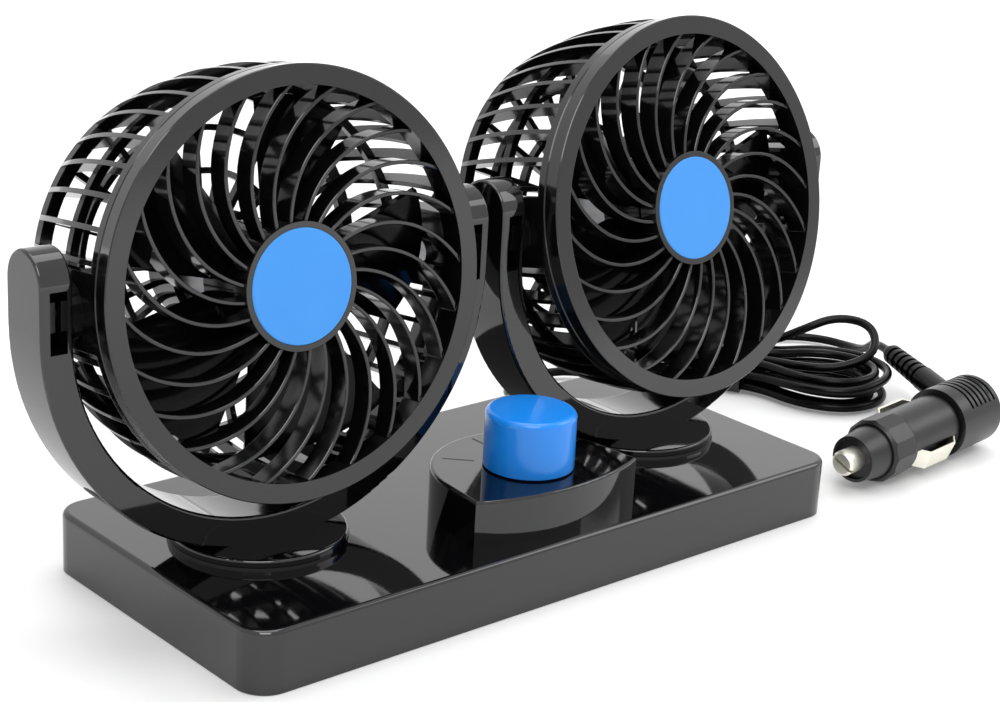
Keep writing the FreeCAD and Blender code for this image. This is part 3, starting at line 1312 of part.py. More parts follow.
def make_plug_grip():
    """Larger rear grip with finger grooves and a side socket for the strain relief."""
    grip = along_plug(
        [
            (GRIP_FRONT, GRIP_SEAT_RADIUS + ASSEMBLY_GAP),
            (GRIP_FRONT, GRIP_RADIUS),
            (GRIP_REAR, GRIP_RADIUS),
            (GRIP_REAR, 0),
            (GRIP_FRONT + GRIP_SEAT_LENGTH + ASSEMBLY_GAP, 0),
            (GRIP_FRONT + GRIP_SEAT_LENGTH + ASSEMBLY_GAP, GRIP_SEAT_RADIUS + ASSEMBLY_GAP),
        ]
    )
    at_rear = [edge for edge in grip.Edges if edge.BoundBox.XMin > GRIP_REAR - NEAR]
    rim = [edge for edge in at_rear if edge.BoundBox.YLength > GRIP_RADIUS]
    grip = grip.makeFillet(GRIP_EDGE_RADIUS, rim)
    for index in range(GRIP_GROOVE_COUNT):
        place = GRIP_FRONT + GRIP_GROOVE_SETBACK + index * GRIP_GROOVE_PITCH
        ring = tube(GRIP_RADIUS + OVERLAP, GRIP_RADIUS - GRIP_GROOVE_DEPTH, 0, GRIP_GROOVE_WIDTH)
        ring = moved(ring, FreeCAD.Placement(Vector(place, 0, 0), FreeCAD.Rotation(Y_AXIS, 90)))
        reach = 2 * GRIP_RADIUS
        upper = box((place, -reach, GRIP_GROOVE_FLOOR), (place + GRIP_GROOVE_WIDTH, reach, reach))
        grip = grip.cut(ring.common(upper))
    socket = relief_neck(ASSEMBLY_GAP)
    return one_solid(grip.cut(socket))


def relief_direction_frame():
    """Placement that turns Z into the relief's direction."""
    rotation = FreeCAD.Rotation(Z_AXIS, polar(1, RELIEF_ANGLE))
    return FreeCAD.Placement(Vector(RELIEF_PLACE, 0, 0), rotation)


def relief_root():
    """Distance along the relief at which its neck starts, inside the grip."""
    return (GRIP_SEAT_RADIUS + 2 * ASSEMBLY_GAP) / math.sin(math.radians(RELIEF_ANGLE))


def relief_neck(gap):
    """Round neck of the relief, grown by a gap for its socket."""
    start = relief_root() - gap
    neck = Part.makeCylinder(RELIEF_NECK_RADIUS + gap, RELIEF_NECK_END - start, Vector(0, 0, start))
    return moved(neck, relief_direction_frame())


def make_plug_relief():
    """Ribbed strain relief that leaves the grip at a slant."""
    neck = relief_neck(0)
    last = RELIEF_NECK_END + RELIEF_RIB_COUNT * RELIEF_RIB_PITCH
    core = revolve_profile(
        [
            (0, RELIEF_NECK_END - OVERLAP),
            (RELIEF_CORE_RADIUS, RELIEF_NECK_END - OVERLAP),
            (RELIEF_CORE_RADIUS, last),
            (RELIEF_END_RADIUS, RELIEF_END),
            (0, RELIEF_END),
        ]
    )
    ribs = []
    for index in range(RELIEF_RIB_COUNT):
        low = RELIEF_NECK_END + RELIEF_RIB_PITCH * (index + 1) - RELIEF_RIB_WIDTH
        share = index / RELIEF_RIB_COUNT
        radius = RELIEF_RIB_RADIUS + (RELIEF_CORE_RADIUS - RELIEF_RIB_RADIUS) * share / 2
        ribs.append(cylinder(radius, low, low + RELIEF_RIB_WIDTH))
    outer = moved(joined([core] + ribs), relief_direction_frame())
    return joined([neck, outer])


# Output

def save(name, shape):
    """Write one piece to its own file."""
    if not shape.isValid():
        print("not valid:", name)
    shape.exportStep("parts/%s.step" % name)


def save_base():
    """Pieces that stay with the plinth, apart from the cord."""
    save("base_housing", make_base_housing())
    save("bottom_plate", make_bottom_plate())
    save("base_screws", make_base_screws())
    save("switch_body", make_switch_body())
    save("switch_nut", make_switch_nut())
    save("switch_shaft", switch_shaft_form(0))
    save("knob", make_knob())
    save("cord_gland", make_cord_gland())


def save_cord():
    """The cord's stretches and its tie."""
    save("cord_lead", make_cord_lead())
    save("cord_hank", make_cord_hank())
    save("cord_tie", make_cord_tie())
    save("cord_tail", make_cord_tail())


def save_plug():
    """Pieces of the plug where it lies."""
    frame = plug_frame()
    makers = {
        "plug_tip": make_plug_tip,
        "plug_nose": make_plug_nose,
        "plug_collar": make_plug_collar,
        "plug_body": make_plug_body,
        "plug_contacts": make_plug_contacts,
        "plug_fuse": make_plug_fuse,
        "plug_spring": make_plug_spring,
        "plug_grip": make_plug_grip,
        "plug_relief": make_plug_relief,
    }
    for name, make in makers.items():
        save(name, moved(make(), frame))


def save_heads():
    """Both yokes and fan heads."""
    yoke_makers = {"yoke": make_yoke, "swivel_clip": make_swivel_clip, "pivot_nuts": make_pivot_nuts}
    head_makers = {
        "rear_cage": make_rear_cage,
        "front_grille": make_front_grille,
        "hub_badge": make_hub_badge,
        "motor": make_motor,
        "motor_screws": make_motor_screws,
        "motor_shaft": make_motor_shaft,
        "impeller": make_impeller,
        "pivot_bolts": make_pivot_bolts,
    }
    yoke_pieces = {name: make() for name, make in yoke_makers.items()}
    head_pieces = {name: make() for name, make in head_makers.items()}
    for side, (x, swivel, tilt) in SIDES.items():
        turn = FreeCAD.Rotation(Z_AXIS, swivel)
        stand = FreeCAD.Placement(Vector(x, SWIVEL_Y, 0), turn)
        aim = turn.multiply(FreeCAD.Rotation(X_AXIS, 90 - tilt))
        head = FreeCAD.Placement(Vector(x, SWIVEL_Y, PIVOT_HEIGHT), aim)
        for name, piece in yoke_pieces.items():
            save("%s_%s" % (side, name), moved(piece, stand))
        for name, piece in head_pieces.items():
            save("%s_%s" % (side, name), moved(piece, head))


os.makedirs("parts", exist_ok=True)
save_base()
save_cord()
save_plug()
save_heads()
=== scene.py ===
import json
import math

import bmesh
import bpy
from mathutils import Matrix, Vector


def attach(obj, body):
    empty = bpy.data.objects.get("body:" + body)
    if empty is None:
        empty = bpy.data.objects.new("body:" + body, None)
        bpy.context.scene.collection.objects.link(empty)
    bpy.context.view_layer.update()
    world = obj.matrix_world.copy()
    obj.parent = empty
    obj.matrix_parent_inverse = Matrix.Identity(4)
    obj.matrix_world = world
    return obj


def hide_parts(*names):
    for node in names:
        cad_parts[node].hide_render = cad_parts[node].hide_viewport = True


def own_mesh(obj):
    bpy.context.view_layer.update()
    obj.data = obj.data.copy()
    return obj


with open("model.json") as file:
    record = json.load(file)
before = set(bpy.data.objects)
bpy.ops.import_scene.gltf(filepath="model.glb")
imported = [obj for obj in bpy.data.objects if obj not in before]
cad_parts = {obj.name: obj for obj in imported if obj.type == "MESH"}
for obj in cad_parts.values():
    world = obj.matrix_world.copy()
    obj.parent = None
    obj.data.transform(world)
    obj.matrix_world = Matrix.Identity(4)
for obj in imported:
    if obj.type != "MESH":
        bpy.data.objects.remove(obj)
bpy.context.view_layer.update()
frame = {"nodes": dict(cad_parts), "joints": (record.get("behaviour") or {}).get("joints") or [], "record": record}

MM = 0.001
UP = Vector((0, 0, 1))
WHITE = (1, 1, 1, 1)

# Camera fitted to the photograph
CAMERA_TARGET = Vector((0.01188, 0.0, 0.05723))
CAMERA_AZIMUTH = -41.97
CAMERA_ELEVATION = 18.68
CAMERA_DISTANCE = 0.63911
CAMERA_ROLL = 3.21
CAMERA_LENS = 76.92
CAMERA_SENSOR = 36.0
CAMERA_NEAR = 0.01
CAMERA_FAR = 20.0

# Cord route in millimetres, as in the part's source apart from the lead's points
CORD_DIAMETER = 3.2
GLAND_END = Vector((80.0, 59.25, 9.0))
LEAD_FIRST_RUN = 10.0
LEAD_POINTS = [(87.0, 79.0, 5.5), (101.0, 89.0, 3.2), (117.0, 93.0, 2.6)]
LEAD_LAST_RUN = 20.0
HANK_CENTRE = Vector((177.3, 50.3, 0.0))
HANK_HEADING = -58.0
LOBE_OFFSET = 34.0
LOBE_RADIUS = 21.0
LOBE_PITCH = 4.6
WAIST_HALF_WIDTH = 10.4
WAIST_PITCH = 4.3
LAYER_COUNT = 3
LAYER_HEIGHT = 2.7
LAYER_PITCH = 4.2
STATIONS_PER_TURN = 8
STATIONS_PER_LAYER = 17
STATIONS_PER_CLIMB = 2
STATION_TOTAL = 49
FIRST_STATION = 7
PARALLEL_LIMIT = 1e-9
TAIL_FIRST_RUN = 9.0
TAIL_POINTS_ON_HANK = [
    (24.0, -7.0, 12.2),
    (37.0, -5.0, 12.6),
    (49.5, 1.5, 18.0),
    (46.0, 13.5, 25.5),
    (32.0, 14.5, 26.5),
    (20.0, 8.5, 21.0),
    (11.0, 10.5, 15.2),
    (1.0, 17.0, 11.5),
]
TAIL_POINTS = [
    (197.0, 71.0, 7.0),
    (208.0, 78.0, 3.6),
    (221.0, 78.0, 2.2),
    (233.5, 73.0, 2.0),
    (241.0, 63.5, 2.0),
    (241.5, 51.5, 2.6),
    (236.0, 39.0, 5.5),
]
TAIL_LAST_RUN = 12.0
PLUG_TIP_PLACE = Vector((125.0, -43.2, 0.0))
PLUG_YAW = 4.5
GRIP_RADIUS = 12.0
GRIP_FRONT = 54.5
COLLAR_RADIUS = 10.8
COLLAR_FRONT = 16.0
RELIEF_PLACE = 72.0
RELIEF_ANGLE = 60.0
RELIEF_END = 61.0

# Fineness of the cord's surface
CORD_ROUND_STEPS = 4
CORD_LENGTH_STEPS = 6

# Front grilles in millimetres, as distance from a head's axis and place along it
BEZEL_PROFILE = [
    (52.8, 11.8),
    (54.95, 11.8),
    (54.95, 14.0),
    (57.65, 14.0),
    (58.0, 14.35),
    (58.3, 19.15),
    (58.05, 19.4),
    (52.8, 19.4),
]
GRILLE_HUB_PROFILE = [(0.0, 13.0), (17.3, 13.0), (17.3, 19.2), (15.7, 19.2), (15.7, 17.9), (0.0, 17.9)]
RING_STEPS = 180
VANE_COUNT = 24
VANE_OUTER_RADIUS = 52.8
VANE_INNER_RADIUS = 17.3
VANE_SINK = 0.02
VANE_TURN = 36.5
VANE_BOW = 0.35
VANE_STEPS = 20
VANE_HALF_THICKNESS = 0.55
VANE_REAR = 11.8
VANE_FRONT = 18.5
VANE_EDGE = 0.2

# Spring behind the plug's tip in millimetres, along the plug from its tip
SPRING_BEGIN = 10.9
SPRING_END = 24.6
SPRING_RADIUS = 2.6
SPRING_WIRE_RADIUS = 0.35
SPRING_TURNS = 5
SPRING_STEPS = 24
SPRING_SIDES = 8

# Edges and welds of built pieces, in degrees and millimetres
SHARP_ANGLE = 30.0
WELD_REACH = 0.0001

# Speed marks round the knob, in millimetres, and the gloss of the plastic beside and on them
KNOB_PLACE = Vector((2.0, -26.0, 0.0))
MARK_FLOOR = 31.4
MARK_ANGLES = (45.0, 90.0, 135.0)
MARK_MIDDLE = 20.5
MARK_HALF_LENGTH = 4.7
MARK_HALF_WIDTH = 0.45
PLAIN_GLOSS = 0.5
MARK_GLOSS = 0.05

# Fine variation of the materials, as scales per metre, lengths in metres and plain shares
NOISE_ROUGHNESS = 0.55
CLOUD_DETAIL = 3.0
CLOUD_SCALE = 60.0
GLOSS_SCALE = 140.0
GLOSS_DETAIL = 4.0
GRAIN_DETAIL = 2.0
GRAIN_STRENGTH = 0.25
METAL_CLOUD_SCALE = 200.0
METAL_GRAIN_STRENGTH = 0.15
METAL_GRAIN_DEPTH = 0.00002
EDGE_SAMPLES = 4

# Painted shade in recesses: reflection level of plastic from shut in to open, and the shares of open sky where it
# begins and ends to change
PAINTED_SHADE_SAMPLES = 6
PAINTED_SHADE_REFLECTION = 0.03
UNSHADED_REFLECTION = 0.5
SHELTERED_SHARE = 0.25
OPEN_SHARE = 0.85

# Nodes whose steel is blackened
BLACKENED_NODES = ("left_pivot_nuts", "right_pivot_nuts")

# Shader that each kind of node tree ends in
MATERIAL_SHADER = "Principled BSDF"
WORLD_SHADER = "Background"

# Floor, in metres
FLOOR_SIZE = 8.0
FLOOR_DROP = 0.0002
FLOOR_COLOUR = (0.86, 0.86, 0.86, 1)
FLOOR_ROUGHNESS = 0.5

# Light that only the floor's own picture gets, by the distance from the object in metres
FLOOR_LIFT_NEAR = 0.15
FLOOR_LIFT_FAR = 1.0
FLOOR_NEAR = 0.5
FLOOR_FAR = 2.0

# Light of the world, brightest from behind on the right
WORLD_BRIGHT_WAY = (0.62, 0.69, 0.37)
WORLD_DIM_BELOW = -0.3
WORLD_BRIGHT_ABOVE = 0.6
WORLD_DIM = 0.2
WORLD_BRIGHT = 1.0

# Lamps as name, place and size in metres, and power in watts
LAMP_TARGET = Vector((0, 0, 0.06))
LAMPS = [
    ("key", (-0.7, -0.9, 1.4), 0.9, 12.0),
    ("fill", (1.2, -0.6, 1.0), 0.8, 4.5),
    ("top", (0.1, 0.2, 1.6), 1.2, 10.0),
    ("rim", (0.95, 1.06, 0.55), 1.0, 1.2),
]


def make_camera():
    """Camera at the photograph's place, with its small roll."""
    azimuth = math.radians(CAMERA_AZIMUTH)
    elevation = math.radians(CAMERA_ELEVATION)
    back = Vector((
        math.sin(azimuth) * math.cos(elevation),
        -math.cos(azimuth) * math.cos(elevation),
        math.sin(elevation),
    ))
    right = (-back).cross(UP).normalized()
    up = right.cross(-back)
    roll = math.radians(CAMERA_ROLL)
    turned_right = right * math.cos(roll) + up * math.sin(roll)
    turned_up = up * math.cos(roll) - right * math.sin(roll)
    rotation = Matrix((turned_right, turned_up, back)).transposed()
    data = bpy.data.cameras.new("camera")
    data.lens = CAMERA_LENS
    data.sensor_width = CAMERA_SENSOR
    data.clip_start = CAMERA_NEAR
    data.clip_end = CAMERA_FAR
    camera = bpy.data.objects.new("camera", data)
    place = Matrix.Translation(CAMERA_TARGET + back * CAMERA_DISTANCE)
    camera.matrix_world = place @ rotation.to_4x4()
    bpy.context.scene.collection.objects.link(camera)
    bpy.context.scene.camera = camera


# Cord

def on_hank(x, y, z):
    """Point of the hank's own frame, in the room's frame."""
    turn = math.radians(HANK_HEADING)
    return HANK_CENTRE + Vector((
        x * math.cos(turn) - y * math.sin(turn),
        x * math.sin(turn) + y * math.cos(turn),
        z,
    ))


def hank_stations():
    """Places and directions round the hank, spiralling in on one layer and out on the next."""
    stations = []
    for index in range(STATION_TOTAL + 1):
        layer, step = divmod(index, STATIONS_PER_LAYER)
        depth = (step if layer % 2 == 0 else STATIONS_PER_LAYER - step) / STATIONS_PER_TURN
        lobe = LOBE_RADIUS - LOBE_PITCH * depth
        waist = WAIST_HALF_WIDTH - WAIST_PITCH * depth
        climb = 0.0
        for above in range(1, LAYER_COUNT):
            begun = (index - above * STATIONS_PER_LAYER + 1) / STATIONS_PER_CLIMB
            climb += min(1.0, max(0.0, begun))
        height = LAYER_HEIGHT + LAYER_PITCH * climb
        end = LOBE_OFFSET + lobe
        places = [
            (0, -waist, 1, 0),
            (LOBE_OFFSET, -lobe, 1, 0),
            (end, 0, 0, 1),
            (LOBE_OFFSET, lobe, -1, 0),
            (0, waist, -1, 0),
            (-LOBE_OFFSET, lobe, -1, 0),
            (-end, 0, 0, -1),
            (-LOBE_OFFSET, -lobe, 1, 0),
        ]
        x, y, along_x, along_y = places[(FIRST_STATION + index) % STATIONS_PER_TURN]
        stations.append((Vector((x, y, height)), Vector((along_x, along_y, 0))))
    return stations


def hank_points():
    """Two control points between neighbouring stations, each on the line that leaves its station."""
    stations = hank_stations()
    points = []
    for (start, start_way), (end, end_way) in zip(stations, stations[1:]):
        chord = end - start
        square = chord.dot(chord)
        lead = -2 * chord.dot(start_way + end_way)
        bend = 2 * (start_way.dot(end_way) - 1)
        if abs(bend) < PARALLEL_LIMIT:
            reach = -square / lead
        else:
            reach = (-lead - math.sqrt(lead * lead - 4 * bend * square)) / (2 * bend)
        points.append(start + start_way * reach)
        points.append(end - end_way * reach)
    return points


def plug_frame():
    """Placement of the plug as it lies on the floor, with X from its tip to its rear."""
    pitch = math.asin((GRIP_RADIUS - COLLAR_RADIUS) / (GRIP_FRONT - COLLAR_FRONT))
    tip_height = GRIP_RADIUS * math.cos(pitch) - GRIP_FRONT * math.sin(pitch)
    place = Matrix.Translation(PLUG_TIP_PLACE + Vector((0, 0, tip_height)))
    turn = Matrix.Rotation(math.radians(PLUG_YAW), 4, "Z") @ Matrix.Rotation(-pitch, 4, "Y")
    return place @ turn


def cord_route():
    """Control points of the whole cord, from its outlet to the plug."""
    stations = hank_stations()
    hank_way = on_hank(1, 0, 0) - on_hank(0, 0, 0)
    first = stations[0][0] - stations[0][1] * CORD_DIAMETER
    last = stations[-1][0] + stations[-1][1] * CORD_DIAMETER
    start = on_hank(*first)
    end = on_hank(*last)
    plug = plug_frame()
    angle = math.radians(RELIEF_ANGLE)
    relief_way = plug.to_3x3() @ Vector((math.cos(angle), math.sin(angle), 0))
    relief_end = plug @ Vector((RELIEF_PLACE, 0, 0)) + relief_way * RELIEF_END
    points = [GLAND_END, GLAND_END + Vector((0, LEAD_FIRST_RUN, 0))]
    points += [Vector(point) for point in LEAD_POINTS]
    points += [start - hank_way * LEAD_LAST_RUN]
    points += [on_hank(*point) for point in hank_points()]
    points += [end + hank_way * TAIL_FIRST_RUN]
    points += [on_hank(*point) for point in TAIL_POINTS_ON_HANK]
    points += [Vector(point) for point in TAIL_POINTS]
    points += [relief_end + relief_way * TAIL_LAST_RUN, relief_end]
    return points


def make_cord(material):
    """The power cord: one smooth line from the outlet, round the hank, to the plug."""
    data = bpy.data.curves.new("power_cord", "CURVE")
    data.dimensions = "3D"
    # A depth of one lets each point's radius be the cord's own in metres
    data.bevel_depth = 1.0
    data.bevel_resolution = CORD_ROUND_STEPS
    data.use_fill_caps = True
    data.resolution_u = CORD_LENGTH_STEPS
    points = cord_route()
    spline = data.splines.new("NURBS")
    spline.points.add(len(points) - 1)
    for place, point in zip(spline.points, points):
        place.co = (*(point * MM), 1.0)
        place.radius = CORD_DIAMETER / 2 * MM
    spline.order_u = 3
    spline.use_endpoint_u = True
    cord = bpy.data.objects.new("power_cord", data)
    bpy.context.scene.collection.objects.link(cord)
    cord.data.materials.append(material)
    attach(cord, "base")
    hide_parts("cord_lead", "cord_hank", "cord_tail")
    nodes = ["cord_tie", "plug_nose", "plug_collar", "plug_body", "plug_contacts", "plug_fuse"]
    nodes += ["plug_spring", "plug_grip", "plug_relief", "plug_tip"]


# Built pieces

def add_sides(shape, sections):
    """Join neighbouring closed sections with faces."""
    for section, following in zip(sections, sections[1:]):
        for index in range(len(section)):
            before = index - 1
            shape.faces.new((section[before], following[before], following[index], section[index]))


def add_ends(shape, sections):
    """Close the first and the last section."""
    shape.faces.new(sections[0])
    shape.faces.new(sections[-1])


def make_piece(shape, name, place, material):
    """Object from a shape that was built in millimetres, put in its place."""
    bmesh.ops.remove_doubles(shape, verts=shape.verts, dist=WELD_REACH)
    bmesh.ops.recalc_face_normals(shape, faces=shape.faces)
    shape.transform(place)
    mesh = bpy.data.meshes.new(name)
    shape.to_mesh(mesh)
    shape.free()
    mesh.shade_smooth()
    mesh.set_sharp_from_angle(angle=math.radians(SHARP_ANGLE))
    mesh.materials.append(material)
    piece = bpy.data.objects.new(name, mesh)
    bpy.context.scene.collection.objects.link(piece)
    return piece


def make_spring(material):
    """Spring behind the plug's tip."""
    shape = bmesh.new()
    sections = []
    for step in range(SPRING_TURNS * SPRING_STEPS + 1):
        turn = math.tau * step / SPRING_STEPS
        outward = Vector((0, math.cos(turn), math.sin(turn)))
        along = SPRING_BEGIN + (SPRING_END - SPRING_BEGIN) * step / (SPRING_TURNS * SPRING_STEPS)
        middle = Vector((along, 0, 0)) + outward * SPRING_RADIUS
        section = []
        for corner in range(SPRING_SIDES):
            lean = math.tau * corner / SPRING_SIDES
            offset = outward * math.cos(lean) + Vector((math.sin(lean), 0, 0))
            section.append(shape.verts.new(middle + offset * SPRING_WIRE_RADIUS))
        sections.append(section)
    add_sides(shape, sections)
    add_ends(shape, sections)
    place = Matrix.Scale(MM, 4) @ plug_frame()
    spring = make_piece(shape, "tip_spring", place, material)
    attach(spring, "base")
    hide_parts("plug_spring")
    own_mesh(spring)


# Front grilles

def add_ring(shape, profile):
    """Turn a closed profile about the axis."""
    columns = []
    for step in range(RING_STEPS):
        turn = math.tau * step / RING_STEPS
        columns.append([
            shape.verts.new((radius * math.cos(turn), radius * math.sin(turn), place))
            for radius, place in profile
        ])
    add_sides(shape, columns + columns[:1])


def vane_point(share):
    """Middle of a vane, from the bezel at nought to the hub at one."""
    radius = VANE_OUTER_RADIUS + (VANE_INNER_RADIUS - VANE_OUTER_RADIUS) * share
    turn = math.radians(VANE_TURN * (share + VANE_BOW * share * (1 - share)))
    return Vector((radius * math.cos(turn), radius * math.sin(turn), 0))


def add_vane(shape, turn):
    """One swept vane with eased front edges, sunk a little into the bezel and the hub."""
    rotation = Matrix.Rotation(turn, 3, "Z")
    eased = VANE_HALF_THICKNESS - VANE_EDGE
    outline = [
        (-VANE_HALF_THICKNESS, VANE_REAR),
        (VANE_HALF_THICKNESS, VANE_REAR),
        (VANE_HALF_THICKNESS, VANE_FRONT - VANE_EDGE),
        (eased, VANE_FRONT),
        (-eased, VANE_FRONT),
        (-VANE_HALF_THICKNESS, VANE_FRONT - VANE_EDGE),
    ]
    sections = []
    for step in range(VANE_STEPS + 1):
        share = -VANE_SINK + (1 + 2 * VANE_SINK) * step / VANE_STEPS
        way = vane_point(share + VANE_SINK) - vane_point(share - VANE_SINK)
        across = Vector((-way.y, way.x, 0)).normalized()
        sections.append([
            shape.verts.new(rotation @ (vane_point(share) + across * offset + Vector((0, 0, place))))
            for offset, place in outline
        ])
    add_sides(shape, sections)
    add_ends(shape, sections)


def make_grille(side, material):
    """Bezel, hub and swept vanes of one head."""
    shape = bmesh.new()
    add_ring(shape, BEZEL_PROFILE)
    add_ring(shape, GRILLE_HUB_PROFILE)
    for index in range(VANE_COUNT):
        add_vane(shape, math.tau * index / VANE_COUNT)
    joints = {joint["name"]: joint for joint in frame["joints"]}
    forward = Vector(joints[side + "_spin"]["axis"])
    right = Vector(joints[side + "_tilt"]["axis"])
    turn = Matrix((right, forward.cross(right), forward)).transposed().to_4x4()
    place = Matrix.Translation(Vector(joints[side + "_spin"]["pos_m"])) @ turn @ Matrix.Scale(MM, 4)
    grille = make_piece(shape, side + "_swept_grille", place, material)
    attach(grille, side + "_head")
    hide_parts(side + "_front_grille")


# Materials

class Nodes:
    """Small helper for building the node tree of a material or a world."""

    def __init__(self, owner, shader_name):
        owner.use_nodes = True
        self.tree = owner.node_tree
        self.shader = self.tree.nodes[shader_name]

    def add(self, kind, **values):
        """New node, with its inputs and settings."""
        node = self.tree.nodes.new(kind)
        for key, value in values.items():
            if key in node.inputs:
                node.inputs[key].default_value = value
            else:
                setattr(node, key, value)
        return node

    def link(self, source, target):
        self.tree.links.new(source, target)

    def noise(self, scale, detail=CLOUD_DETAIL):
        """Cloudy pattern from nought to one, fixed to the piece."""
        coordinates = self.add("ShaderNodeTexCoord")
        texture = self.add("ShaderNodeTexNoise", Scale=scale, Detail=detail, Roughness=NOISE_ROUGHNESS)
        self.link(coordinates.outputs["Object"], texture.inputs["Vector"])
        return texture.outputs["Fac"]

    def ranged(self, source, low, high, source_low=0.0, source_high=1.0):
        """Source stretched from its own range to another."""
        node = self.add("ShaderNodeMapRange")
        node.inputs["From Min"].default_value = source_low
        node.inputs["From Max"].default_value = source_high
        node.inputs["To Min"].default_value = low
        node.inputs["To Max"].default_value = high
        self.link(source, node.inputs["Value"])
        return node.outputs["Result"]

    def coloured(self, source, dark, light):
        """Colour between two, by the source."""
        node = self.add("ShaderNodeMix", data_type="RGBA")
        node.inputs["A"].default_value = (*dark, 1)
        node.inputs["B"].default_value = (*light, 1)
        self.link(source, node.inputs["Factor"])
        return node.outputs["Result"]

    def math(self, operation, *values):
        """Result of one operation on outputs and numbers."""
        node = self.add("ShaderNodeMath", operation=operation)
        for socket, value in zip(node.inputs, values):
            if isinstance(value, (int, float)):
                socket.default_value = value
            else:
                self.link(value, socket)
        return node.outputs["Value"]

    def along(self, place, direction):
        """Distance of the surface from a place, along a direction."""
        coordinates = self.add("ShaderNodeTexCoord")
        offset = self.add("ShaderNodeVectorMath", operation="SUBTRACT")
        offset.inputs[1].default_value = place
        self.link(coordinates.outputs["Object"], offset.inputs[0])
        dot = self.add("ShaderNodeVectorMath", operation="DOT_PRODUCT")
        dot.inputs[1].default_value = direction
        self.link(offset.outputs["Vector"], dot.inputs[0])
        return dot.outputs["Value"]

    def near(self, source, reach):
        """One where the source is nearer to nought than the reach."""
        return self.math("LESS_THAN", self.math("ABSOLUTE", source), reach)

    def bump(self, source, strength, distance, edge=None):
        """Fine relief of the surface, over edges that are rounded to the eye."""
        node = self.add("ShaderNodeBump", Strength=strength, Distance=distance)
        self.link(source, node.inputs["Height"])
        if edge:
            rounded = self.add("ShaderNodeBevel", Radius=edge, samples=EDGE_SAMPLES)
            self.link(rounded.outputs["Normal"], node.inputs["Normal"])
        self.link(node.outputs["Normal"], self.shader.inputs["Normal"])


def plastic(name, dark, light, rough, grain, grain_depth, edge=None, ior=1.5, painted_shade_reach=None):
    """Moulded plastic, faintly cloudy, with uneven gloss and fine relief, and painted shade that fades its
    reflection where it is shut in.
    """
    material = bpy.data.materials.new(name)
    nodes = Nodes(material, MATERIAL_SHADER)
    shader = nodes.shader
    nodes.link(nodes.coloured(nodes.noise(CLOUD_SCALE), dark, light), shader.inputs["Base Color"])
    nodes.link(nodes.ranged(nodes.noise(GLOSS_SCALE, GLOSS_DETAIL), *rough), shader.inputs["Roughness"])
    nodes.bump(nodes.noise(grain, GRAIN_DETAIL), GRAIN_STRENGTH, grain_depth, edge)
    shader.inputs["IOR"].default_value = ior
    if painted_shade_reach:
        # Painted shade: ambient occlusion fades the reflection where the surface is shut in, so recesses look
        # darker
        openness = nodes.add("ShaderNodeAmbientOcclusion", Distance=painted_shade_reach, samples=PAINTED_SHADE_SAMPLES)
        gloss = nodes.ranged(openness.outputs["AO"], PAINTED_SHADE_REFLECTION, UNSHADED_REFLECTION, SHELTERED_SHARE, OPEN_SHARE)
        nodes.link(gloss, shader.inputs["Specular IOR Level"])
    return material


def speed_marks(nodes):
    """One where a speed mark lies on the pod's top, and nought elsewhere."""
    height = nodes.along(Vector((0, 0, MARK_FLOOR)) * MM, UP)
    marks = []
    for angle in MARK_ANGLES:
        turn = math.radians(angle)
        outward = Vector((math.cos(turn), math.sin(turn), 0))
        across = Vector((-math.sin(turn), math.cos(turn), 0))
        middle = (KNOB_PLACE + outward * MARK_MIDDLE) * MM
        lengthwise = nodes.near(nodes.along(middle, outward), MARK_HALF_LENGTH * MM)
        sideways = nodes.near(nodes.along(middle, across), MARK_HALF_WIDTH * MM)
        marks.append(nodes.math("MULTIPLY", lengthwise, sideways))
    marked = marks[0]
    for mark in marks[1:]:
        marked = nodes.math("MAXIMUM", marked, mark)
    return nodes.math("MULTIPLY", marked, nodes.math("GREATER_THAN", height, 0.0))


def marked_plastic(name, **looks):
    """Polished plastic with dull speed marks."""
    material = plastic(name, **looks)
    nodes = Nodes(material, MATERIAL_SHADER)
    gloss = nodes.ranged(speed_marks(nodes), PLAIN_GLOSS, MARK_GLOSS)
    nodes.link(gloss, nodes.shader.inputs["Specular IOR Level"])
    return material


def metal(name, dark, light, rough, grain):
    """Bare or plated metal with fine drawing marks."""
    material = bpy.data.materials.new(name)
    nodes = Nodes(material, MATERIAL_SHADER)
    shader = nodes.shader
    shader.inputs["Metallic"].default_value = 1.0
    nodes.link(nodes.coloured(nodes.noise(METAL_CLOUD_SCALE), dark, light), shader.inputs["Base Color"])
    nodes.link(nodes.ranged(nodes.noise(grain), *rough), shader.inputs["Roughness"])
    nodes.bump(nodes.noise(grain, GRAIN_DETAIL), METAL_GRAIN_STRENGTH, METAL_GRAIN_DEPTH)
    return material


